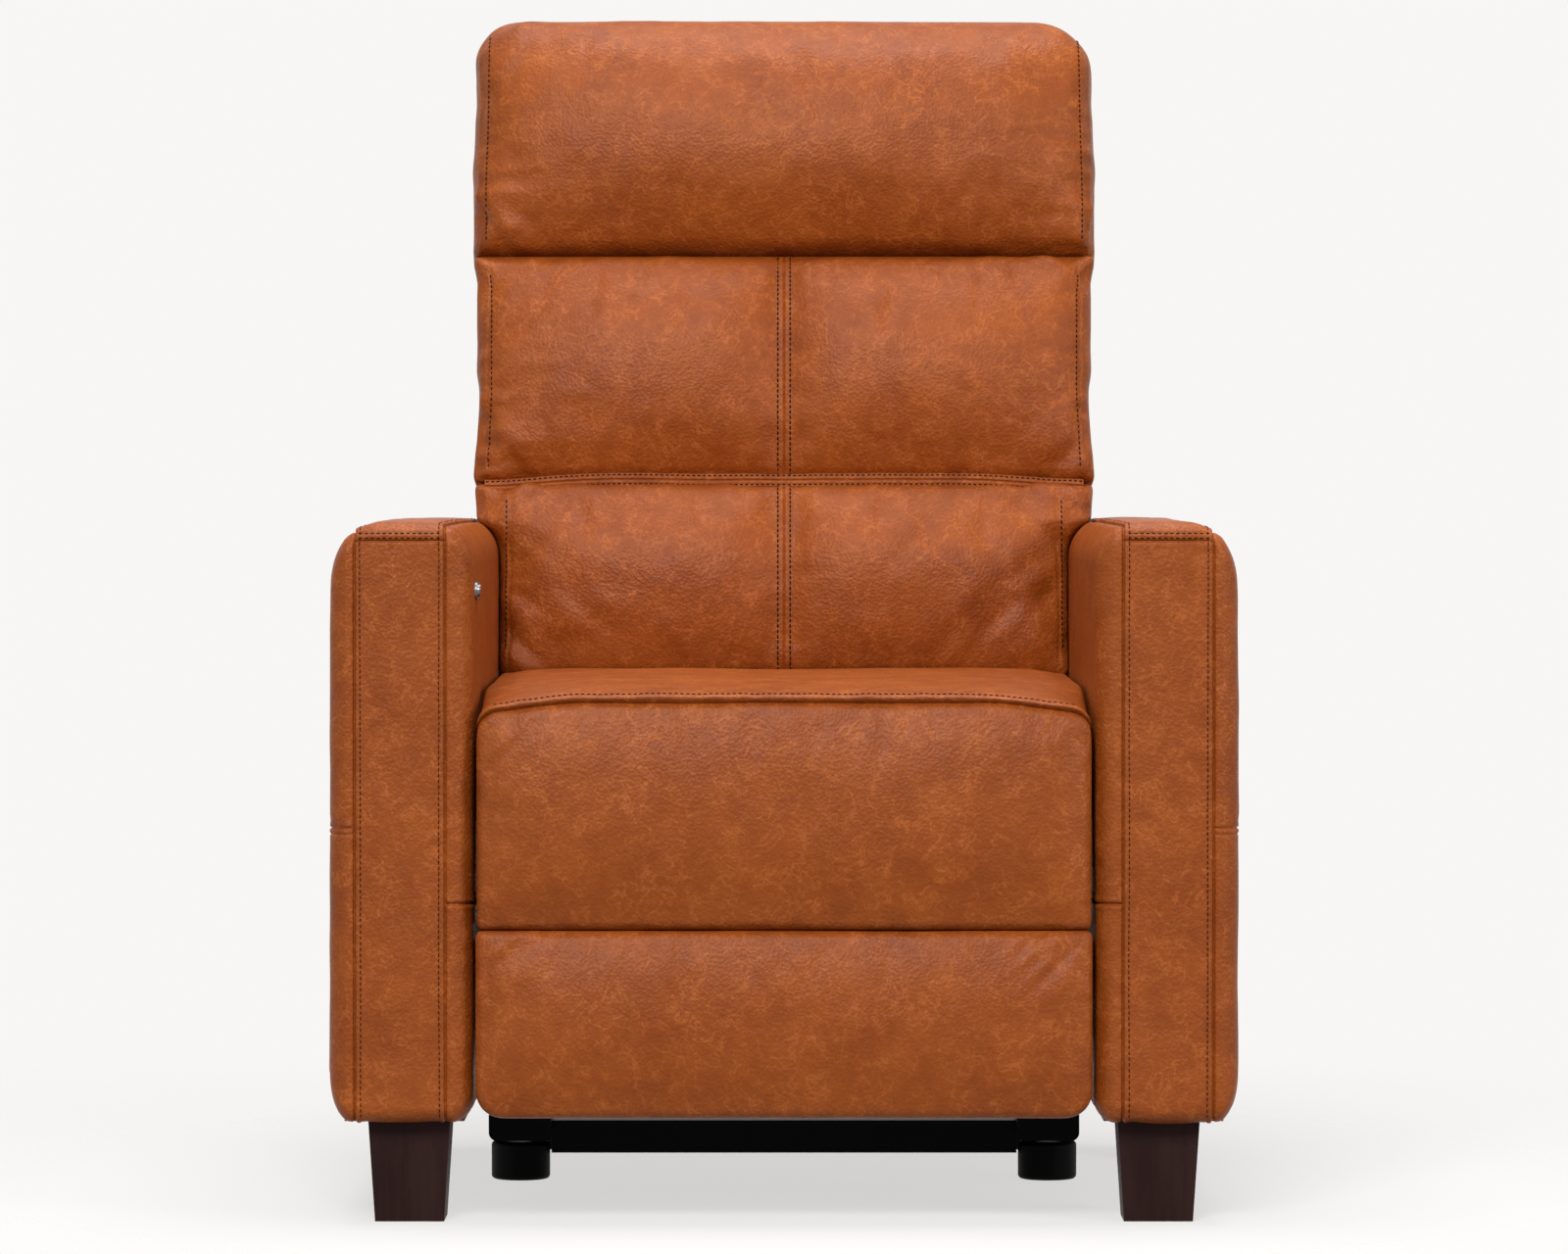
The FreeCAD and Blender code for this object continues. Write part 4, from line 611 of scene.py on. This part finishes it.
def slab(name, look, place):  # a closed pad with rolled edges; a runs across, b up, c from face to rear
    half, step, rear = look["half"], slabLook["step"], look["depth"]
    na, nb = 2 * int(half / step), int((look["high"] - look["low"]) / step)
    fa, fb = np.linspace(0, 1, na + 1), np.linspace(0, 1, nb + 1)
    across, deep = look["roll"]
    turn, straight = np.linspace(0, math.pi / 2, slabLook["rollRings"]), slabLook["sideRings"]
    back, edge = slabLook["rearRound"], slabLook["rearTurn"]
    rings = [(across * (1 - math.sin(t)), deep * (1 - math.cos(t))) for t in turn]
    rings += [(0.0, deep + (rear - back - deep) * k / straight) for k in range(1, straight + 1)]
    rings += [(edge, rear - edge), (back, rear)]
    around = 2 * (na + nb)
    loops = [np.column_stack([outlineAt(look, inset, fa, fb), np.full(around, c)]) for inset, c in rings]
    flat, faces = closedShell(loops, rimGrid(na, nb), fa, fb, (0, 3, 2, 1))
    x, b, c = flat.T
    middle, tall = (look["low"] + look["high"]) / 2, (look["high"] - look["low"]) / 2
    s, t, peak = np.abs(x) / half, (b - middle) / tall, look["peak"]
    t = np.where(t < peak, (t - peak) / (1 + peak), (t - peak) / (1 - peak))
    full = (1 - np.clip(s, 0, 1) ** look["square"]) ** 0.6
    full = full * (1 - np.clip(np.abs(t), 0, 1) ** look["round"]) ** 0.75
    if look["split"]:
        (narrowShare, narrow), (wideShare, wide) = slabLook["splitNarrow"], slabLook["splitWide"]
        full = full * (1 - narrowShare * hump(x, narrow) - wideShare * hump(x, wide))
    c = c - look["crown"] * full * np.clip(1 - c / slabLook["crownDepth"], 0, 1)
    obj = meshObject(name, place(x, b, c), faces.tolist(), leather)
    outward(obj)
    held = 1 - ramp(rimDistance(x, b, look), *slabLook["heldRim"])
    held = np.maximum(held, ramp(c, deep * 0.8, deep * 1.4 + 0.004))
    if look["split"]:
        held = np.maximum(held, hump(x, slabLook["splitHeld"]))
    stuffed(obj, held, look)
    return obj


tilt = math.radians(12.5)
backFoot = np.array([0, 0.101, 0.475])
backDepth = np.array([0, math.cos(tilt), -math.sin(tilt)])
backRise = np.array([0, math.sin(tilt), math.cos(tilt)])


def inBack(points):  # across, rise and depth in the back's own frame
    away = np.asarray(points) - backFoot
    return np.stack([away[:, 0], away @ backRise, away @ backDepth], 1)


def fromBack(x, h, d):
    return backFoot + np.array([x, 0, 0]) + backRise * h + backDepth * d


backLooks = {
    "head": {
        "node": "head_cushion", "low": 0.3965, "high": 0.6308, "half": 0.2975,
        "corners": (0.005, 0.005, 0.057, 0.042),
        "rise": (0.396, 0.46, 0.52, 0.62), "wide": (0.2975, 0.2975, 0.2958, 0.2952),
        "roll": (0.020, 0.026), "front": 0.005, "depth": 0.097, "crown": 0.046, "peak": 0.14, "square": 3.2,
        "round": 2.0, "cap": 0.009, "slack": 0.006, "pressure": 4.0, "split": False, "seed": 21},
    "middle": {
        "node": "mid_cushion", "low": 0.1754, "high": 0.3962, "half": 0.2905,
        "corners": (0.005, 0.005, 0.005, 0.005),
        "rise": (0.175, 0.195, 0.255, 0.355, 0.382, 0.397),
        "wide": (0.2938, 0.2938, 0.2906, 0.2915, 0.2940, 0.2962),
        "roll": (0.012, 0.014), "front": 0.006, "depth": 0.096, "crown": 0.041, "peak": 0.12, "square": 2.8,
        "round": 2.0, "cap": 0.009, "slack": 0.012, "pressure": 4.0, "split": True, "start": 0.004, "seed": 34},
    "lower": {
        "node": "lower_cushion", "low": 0.001, "high": 0.1746, "half": 0.2686,
        "corners": (0.010, 0.010, 0.004, 0.004),
        "rise": (0.0, 0.150, 0.175), "wide": (0.2912, 0.2912, 0.2935),
        "roll": (0.011, 0.013), "front": 0.006, "depth": 0.096, "crown": 0.035, "peak": 0.12, "square": 2.8,
        "round": 2.0, "cap": 0.009, "slack": 0.012, "pressure": 4.0, "split": True, "start": -0.012, "seed": 55,
        "rollFoot": 0.5735, "rollSize": 0.036, "lip": 0.016},  # the arms' inner roll, and the lip on the seat
}
# height, size and, where it fades, reach of each kind of crease
creases = {"gather": (0.0062, 0.0105, 0.036), "corner": (0.0050, 0.016, 0.075), "end": (0.0009, 0.014, 0.022),
           "split": (0.0010, 0.009, 0.016), "soft": (0.0026, 0.075), "fine": (0.0008, 0.022),
           "side": (0.0016, 0.022)}
sideSeam = {"inset": 0.010, "profile": (0.004, 0.0018, 0.0005)}


def backCushion(name, look):
    def place(x, h, d):
        wide = np.interp(h, look["rise"], look["wide"])
        if name == "lower":  # narrow between the arms, full above their rolled tops
            roll = look["rollSize"]
            z = backFoot[2] + h * backRise[2] + d * backDepth[2]
            high = np.clip((z - look["rollFoot"]) / roll, 0, 1)
            spread = roll * (1 - np.sqrt(1 - high * high)) * (1 - ramp(d, 0.055, 0.085))
            wide = np.minimum(wide, look["half"] + spread)
            h = h - look["lip"] * (1 - ramp(h, 0.0, 0.06)) * (1 - ramp(d, 0.012, 0.04))
        x = x * wide / look["half"]
        deep = (d + look["front"])[:, None] * backDepth
        return backFoot + x[:, None] * (1, 0, 0) + h[:, None] * backRise + deep

    def crease(kind, points, seed):
        height, size = creases[kind][:2]
        return height * noiseAt(points, size, look["seed"] + seed)

    obj = slab(name + "Cushion", look, place)
    points = pointsOf(obj)
    local = inBack(points)
    x, h, d = local.T
    facing = ramp(-(normalsOf(obj) @ backDepth), 0.15, 0.6)
    sideward = ramp(np.abs(normalsOf(obj)[:, 0]), 0.4, 0.8)
    edge = look["half"] - np.abs(x)
    across = local * (0.22, 1, 0.3)
    patchy = ramp(noiseAt(local * (0.1, 1, 0), 0.06, look["seed"] + 30), -0.4, 0.5)
    amount = patchy * fading(edge - 0.01, creases["gather"][2]) * crease("gather", across, 0)
    amount += seamProfile(sideSeam["inset"] - edge, *sideSeam["profile"]) * ramp(look["high"] - h, 0.004, 0.02)
    for corner in (-1, 1):
        for end, way in ((look["low"], 1), (look["high"], -1)):
            slant = -corner * way
            away = np.hypot(x - corner * (look["half"] - 0.012), h - end)
            turned = [(x * 0.7 - slant * h * 0.7) * 0.28, x * slant * 0.7 + h * 0.7, d * 0.2]
            amount += hump(away, creases["corner"][2]) * crease("corner", np.stack(turned, 1), 3 + end)
    ends = np.minimum(h - look["low"], look["high"] - h)
    amount += fading(ends, creases["end"][2]) * crease("end", local * (1, 0.25, 0.3), 9)
    amount += crease("soft", points, 1) + crease("fine", points, 2)
    if look["split"]:
        beside = fading(np.abs(x) - 0.007, creases["split"][2])
        amount += beside * crease("split", across, 5) - 0.0010 * hump(x, 0.008)
    amount *= facing
    if name != "lower":
        amount += sideward * crease("side", local * (0, 1, 0.2), 7)
    push(obj, amount)
    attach(obj, "back")
    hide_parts(look["node"])
    return obj


backCushions = [backCushion(name, look) for name, look in backLooks.items()]
backTree = surfaceOf(*backCushions)
print("back cushions done")

# a felled seam across: distance from its middle, and rise
halfProfile = [(-0.0072, -0.0030), (-0.0064, -0.0006), (-0.0052, 0.0002), (-0.0043, -0.0002), (-0.0032, 0.0006),
               (-0.0018, 0.0009), (-0.0008, 0.0006), (-0.0003, -0.0006), (0.0, -0.0011)]
bandProfile = halfProfile + [(-a, rise) for a, rise in halfProfile[-2::-1]]
centreSeam = {"scale": 1.35, "lift": 0.0013, "row": 0.0058, "smooth": 6, "length": 0.0039, "radius": 0.00085}
lowerSeam = {"scale": 1.0, "lift": 0.0, "row": 0.0043, "smooth": 10, "half": 0.283, "rise": 0.175, "droop": 0.005,
             "droopFrom": 0.17, "beside": (0.167, 0.183), "proud": 0.0012, "radius": 0.0007}
edgeRow = {"inset": 0.014, "over": 0.007, "low": 0.012, "high": 0.02}


def faceOfBack(x, h):  # where the cushions' face is, or None
    place = backTree.ray_cast(Vector(fromBack(x, h, -0.15)), Vector(backDepth))[0]
    return None if place is None else np.array(place)


def felledSeam(name, path, look):  # two folded edges along a path; gives the places of its stitches
    path = np.array(path)
    for step in range(look["smooth"]):
        path[1:-1] = 0.5 * path[1:-1] + 0.25 * (path[2:] + path[:-2])
    tangents = unit(np.gradient(path, axis=0))
    normals = unit(-backDepth[None] - tangents * (tangents @ -backDepth)[:, None])
    path = path + normals * look["lift"]
    across = np.cross(unit(np.gradient(path, axis=0)), normals)
    points = []
    for spot, aside, normal in zip(path, across, normals):
        points += [spot + aside * a * look["scale"] + normal * rise for a, rise in bandProfile]
    obj = meshObject(name, points, sheetFaces(len(path), len(bandProfile)), leather)
    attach(obj, "back")
    tree, beside = surfaceOf(obj), np.cross(tangents, normals)
    return [place for row in (-look["row"], look["row"]) for place in laidOn(tree, path + beside * row)]


def centreSeams():
    for name in ("middle", "lower"):
        look = backLooks[name]
        heights = np.linspace(look["low"] + look["start"], look["high"] - 0.004, 60)
        spots = [faceOfBack(0.0, h) for h in heights]
        places = felledSeam(name + "Seam", [spot for spot in spots if spot is not None], centreSeam)
        sewn(name + "SeamStitches", "back", places, centreSeam["length"], centreSeam["radius"])


def crossSeam():  # between the middle and the lower cushion, then the rows down the cushions' edges
    look = lowerSeam
    path = []
    for x in np.linspace(-look["half"], look["half"], 120):
        spots = [faceOfBack(x, h) for h in look["beside"]]
        depth = max((float((spot - backFoot) @ backDepth) for spot in spots if spot is not None), default=0.03)
        rise = look["rise"] - look["droop"] * ramp(abs(x), look["droopFrom"], look["half"])
        path.append(fromBack(x, rise, depth + look["proud"]))
    places = felledSeam("lowerSeamBand", path, look)
    for cushion in backLooks.values():
        heights = np.linspace(cushion["low"] + edgeRow["low"], cushion["high"] - edgeRow["high"], 40)
        wide = np.minimum(np.interp(heights, cushion["rise"], cushion["wide"]), cushion["half"] + edgeRow["over"])
        for sign in (-1, 1):
            row = [fromBack(sign * (half - edgeRow["inset"]), h, 0) for half, h in zip(wide, heights)]
            places += laidOn(backTree, row, backDepth)
    sewn("backStitches", "back", places, radius=look["radius"])


centreSeams()
crossSeam()
print("back seams done")

seatLook = {
    "low": -0.4348, "high": 0.140, "half": 0.2655, "corners": (0.008, 0.008, 0.020, 0.020),
    "roll": (0.004, 0.003), "depth": 0.076, "crown": 0.0060, "peak": -0.1, "square": 4.0, "round": 2.4,
    "cap": 0.003, "slack": 0.004, "pressure": 3.0, "split": False, "seam": 0.4582, "lift": 0.005,
    "undercut": 0.015, "row": 0.0075, "rowDepth": 0.0006, "rowHalf": 0.252, "rowRadius": 0.0007,
    "soft": (0.0016, 0.10), "lip": (0.0007, 0.012, 0.03)}
# how the seat's front seam falls toward its ends: a slow fall, then a round corner
seamFall = {"slow": 0.008, "from": 0.175, "to": 0.262, "cornerFrom": 0.2480, "corner": 0.0180}


def cornerDrop(x):
    look = seamFall
    turn = np.clip((np.abs(x) - look["cornerFrom"]) / look["corner"], 0, 1)
    slow = look["slow"] * ramp(np.abs(x), look["from"], look["to"])
    return slow + look["corner"] * (1 - np.sqrt(1 - turn * turn))


def seatPlace(x, y, c):
    look = seatLook
    z = look["seam"] + look["lift"] * (y - look["low"]) / (look["high"] - look["low"]) - c
    under = look["undercut"] * ramp(c, 0.0028, 0.0085) * (1 - ramp(y, look["low"], look["low"] + 0.05))
    drop = cornerDrop(x) * (1 - ramp(y, -0.41, -0.22)) * (1 - ramp(c, 0.01, 0.03))
    return np.stack([x, y + under, z - drop], 1)


def seatPiece(look):
    seat = slab("seatCushion", look, seatPlace)
    points = pointsOf(seat)
    top = ramp(normalsOf(seat)[:, 2], 0.2, 0.7)
    behind = points[:, 1] - look["low"]
    (soft, softSize), (lip, lipSize, lipReach) = look["soft"], look["lip"]
    amount = soft * noiseAt(points, softSize, 71)
    amount += lip * fading(behind, lipReach) * noiseAt(points * (1, 0.2, 1), lipSize, 73)
    amount -= look["rowDepth"] * hump(behind - look["row"], 0.0016)
    push(seat, amount * top)
    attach(seat, "base")
    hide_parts("seat_cushion")
    return seat


seat = seatPiece(seatLook)
print("seat done")


padCreases = {"soft": (0.0013, 0.09), "fine": (0.0004, 0.025), "rim": (0.0006, 0.013, 0.02),
              "side": (0.0009, 0.012, 0.022), "tuckSize": 0.011}


def frontPad(name, nodeName, body, look):
    def place(x, z, c):
        fall = look["fall"] * cornerDrop(x) * ramp(z, look["high"] - 0.10, look["high"] - 0.01)
        return np.stack([x, look["front"] + c, z - fall], 1)

    def crease(kind, points, seed):
        height, size = padCreases[kind][:2]
        return height * noiseAt(points, size, look["seed"] + seed)

    obj = slab(name, look, place)
    points = pointsOf(obj)
    x, y, z = points.T
    facing = ramp(-normalsOf(obj)[:, 1], 0.2, 0.7)
    rim, side = np.minimum(z - look["low"], look["high"] - z), look["half"] - np.abs(x)
    amount = crease("soft", points, 0) + crease("fine", points, 1)
    amount += fading(rim, padCreases["rim"][2]) * crease("rim", points * (1, 1, 0.25), 2)
    amount += fading(side, padCreases["side"][2]) * crease("side", points * (0.25, 1, 1), 3)
    turned = np.stack([(x + z) * 0.2, y * 0, x - z], 1)
    tucked = noiseAt(turned, padCreases["tuckSize"], look["seed"] + 5)
    for tuckX, tuckZ, reach, height in look["tucks"]:
        amount += height * hump(np.hypot(x - tuckX, z - tuckZ), reach) * tucked
    push(obj, amount * facing)
    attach(obj, body)
    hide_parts(nodeName)


frontPad("seatFront", "seat_front_pad", "base", {
    "half": 0.2660, "low": 0.2553, "high": 0.4535, "corners": (0.004, 0.004, 0.005, 0.005), "fall": 1.0,
    "roll": (0.008, 0.008), "front": -0.4320, "depth": 0.0585, "crown": 0.0150, "peak": -0.15,
    "square": 6.0, "round": 2.2, "cap": 0.003, "slack": 0.008, "pressure": 4.0, "split": False, "seed": 81,
    "tucks": ((-0.25, 0.42, 0.035, 0.0012), (0.25, 0.42, 0.035, 0.0012))})
frontPad("footrestPad", "footrest_pad", "footrest", {
    "half": 0.267, "low": 0.0922, "high": 0.2550, "corners": (0.024, 0.024, 0.004, 0.004), "fall": 0.0,
    "roll": (0.007, 0.007), "front": -0.4325, "depth": 0.0460, "crown": 0.0120, "peak": -0.05,
    "square": 6.0, "round": 2.2, "cap": 0.003, "slack": 0.008, "pressure": 4.0, "split": False, "seed": 91,
    "tucks": ((0.225, 0.235, 0.030, 0.0040), (-0.235, 0.24, 0.025, 0.0014))})
seatRow = [(x, seatLook["low"] + seatLook["row"], 0.6)
           for x in np.linspace(-seatLook["rowHalf"], seatLook["rowHalf"], 90)]
sewn("seatStitches", "base", laidOn(surfaceOf(seat), seatRow, (0, 0, -1)), radius=seatLook["rowRadius"])

apronLook = {"half": 0.254, "across": 40, "thickness": 0.002,
             "path": ((0.128, 0.452), (0.141, 0.436), (0.152, 0.427), (0.163, 0.424), (0.174, 0.430),
                      (0.181, 0.443), (0.186, 0.462))}  # from the seat's rear down and up to the back


def apronPiece(look):
    xs = np.linspace(-look["half"], look["half"], look["across"])
    points = [(x, y, z) for y, z in look["path"] for x in xs]
    apron = meshObject("crevicePanel", points, sheetFaces(len(look["path"]), look["across"]), leather)
    apron.modifiers.new("solidify", "SOLIDIFY").thickness = look["thickness"]
    apron.modifiers.new("subsurf", "SUBSURF")
    settle(apron)
    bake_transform(apron)


apronPiece(apronLook)
print("front pads done")

coverLook = {"weld": 2e-5, "voxel": 0.0060, "relaxed": 10, "seam": 0.40, "seamRow": 0.0075, "seamHalf": 0.26,
             "edgeRow": 0.245, "edgeLow": -0.09, "edgeHigh": 0.60, "castFrom": 0.3, "fold": (0.0024, 0.002),
             "lap": (0.0012, 0.005, 0.0035), "soft": (0.0012, 0.12), "side": (0.0010, 0.03)}


def relax(obj, rounds):  # each point moves halfway to the mean of its neighbours
    edges = np.empty(len(obj.data.edges) * 2, int)
    obj.data.edges.foreach_get("vertices", edges)
    edges = edges.reshape(-1, 2)
    points = pointsOf(obj)
    count = np.bincount(edges.ravel(), minlength=len(points))[:, None]
    for step in range(rounds):
        total = np.zeros_like(points)
        np.add.at(total, edges[:, 0], points[edges[:, 1]])
        np.add.at(total, edges[:, 1], points[edges[:, 0]])
        points += (total / count - points) * 0.5
    setPoints(obj, points)


def coverPiece(look):
    cover = bpy.data.objects.new("backCover", nodes["back_cover"].data.copy())
    scene.collection.objects.link(cover)
    outward(cover, look["weld"])
    cover.data.materials.clear()
    cover.data.materials.append(leather)
    remesh = cover.modifiers.new("even", "REMESH")
    remesh.mode = "VOXEL"
    remesh.voxel_size = look["voxel"]
    settle(cover)
    relax(cover, look["relaxed"])
    subdivided(cover)
    points = pointsOf(cover)
    local = inBack(points)
    rearward = ramp(normalsOf(cover) @ backDepth, 0.3, 0.8)
    sideward = ramp(np.abs(normalsOf(cover)[:, 0]), 0.5, 0.9)
    e = np.abs(local[:, 1] - look["seam"])
    (fold, foldWide), (lap, lapAt, lapWide) = look["fold"], look["lap"]
    (soft, softSize), (side, sideSize) = look["soft"], look["side"]
    amount = soft * noiseAt(points, softSize, 101)
    amount += (lap * hump(e - lapAt, lapWide) - fold * hump(e, foldWide)) * rearward
    amount += side * noiseAt(local * (1, 1, 0.3), sideSize, 103) * sideward
    push(cover, amount)
    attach(cover, "back")
    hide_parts("back_cover")
    tree, places, far = surfaceOf(cover), [], look["castFrom"]
    for rise in (-look["seamRow"], look["seamRow"]):
        xs = np.linspace(-look["seamHalf"], look["seamHalf"], 60)
        places += laidOn(tree, [fromBack(x, look["seam"] + rise, far) for x in xs], -backDepth)
    for sign in (-1, 1):
        hs = np.linspace(look["edgeLow"], look["edgeHigh"], 80)
        places += laidOn(tree, [fromBack(sign * look["edgeRow"], h, far) for h in hs], -backDepth)
    sewn("coverStitches", "back", places)


coverPiece(coverLook)
print("back cover done")

cameraLook = {"place": (0, -6.43, 0.64), "aim": (0, -0.43, 0.5177), "sensor": 36, "lens": 159.6, "far": 60}
softboxes = {
    "topBox": {"place": (0.0, 0.05, 4.2), "aim": (0, -0.1, 0.4), "size": (2.6, 1.8), "power": 126},
    "keyBox": {"place": (-0.6, -4.2, 3.2), "aim": (0, 0, 0.45), "size": (1.8, 1.4), "power": 190},
    "leftBox": {"place": (-3.0, -2.2, 1.4), "aim": (0, 0, 0.5), "size": (1.2, 2.2), "power": 15},
    "rightBox": {"place": (3.0, -2.4, 1.6), "aim": (0, 0, 0.5), "size": (1.0, 1.6), "power": 52},
}
worldLook = {"around": (1, 1, 1, 1), "strength": 0.15, "seen": (0.930, 0.921, 0.905, 1)}
floorLook = {"colour": (0.80, 0.795, 0.785, 1), "roughness": 0.9, "radius": 3, "corners": 48,
             "clear": 0.68, "fade": (0.6, 1.5)}  # partly clear, wholly so past the fade


def aimed(name, data, look):
    obj = bpy.data.objects.new(name, data)
    scene.collection.objects.link(obj)
    obj.location = look["place"]
    obj.rotation_euler = (Vector(look["aim"]) - Vector(look["place"])).to_track_quat("-Z", "Y").to_euler()
    return obj


def softbox(name, look):
    lamp = bpy.data.lights.new(name, "AREA")
    lamp.shape = "RECTANGLE"
    lamp.size, lamp.size_y = look["size"]
    lamp.energy = look["power"]
    aimed(name, lamp, look)


def makeWorld(look):
    world = bpy.data.worlds.new("studio")
    scene.world = world
    world.use_nodes = True
    tree = world.node_tree
    tree.nodes.clear()
    path = tree.nodes.new("ShaderNodeLightPath").outputs
    rays = Wire(tree, path["Is Camera Ray"])
    for kind in ("Is Glossy Ray", "Is Transmission Ray"):  # metal shows the pale backdrop too
        rays = rays.math("MAXIMUM", rays, Wire(tree, path[kind]))
    around = rays.add("ShaderNodeBackground", Color=look["around"], Strength=look["strength"])
    seen = rays.add("ShaderNodeBackground", Color=look["seen"], Strength=1.0)
    shown = rays.add("ShaderNodeMixShader", **{"0": rays, "1": around, "2": seen})
    output = tree.nodes.new("ShaderNodeOutputWorld")
    tree.links.new(shown.socket, output.inputs["Surface"])


def makeFloor(look):
    turns = [2 * math.pi * k / look["corners"] for k in range(look["corners"])]
    points = [(math.cos(t) * look["radius"], math.sin(t) * look["radius"], 0) for t in turns]
    material, place, shader = newMaterial("paleFloor")
    floor = meshObject("floor", points, [range(look["corners"])], material)
    feed(shader, Base_Color=look["colour"], Roughness=look["roughness"])
    away = place.add("ShaderNodeVectorMath", {"operation": "LENGTH"}, 1, **{"0": place})
    share = look["clear"] + away.between(*look["fade"]) * (1 - look["clear"])
    surface = Wire(place.tree, shader.outputs[0])
    clear = place.add("ShaderNodeBsdfTransparent")
    faded = place.add("ShaderNodeMixShader", **{"0": share, "1": surface, "2": clear})
    place.tree.links.new(faded.socket, place.tree.nodes["Material Output"].inputs["Surface"])


camera = aimed("camera", bpy.data.cameras.new("camera"), cameraLook)
camera.data.sensor_width = cameraLook["sensor"]
camera.data.lens = cameraLook["lens"]
camera.data.clip_end = cameraLook["far"]
scene.camera = camera
for name, look in softboxes.items():
    softbox(name, look)
makeWorld(worldLook)
makeFloor(floorLook)
scene.view_settings.view_transform = "Standard"
print("stage done")
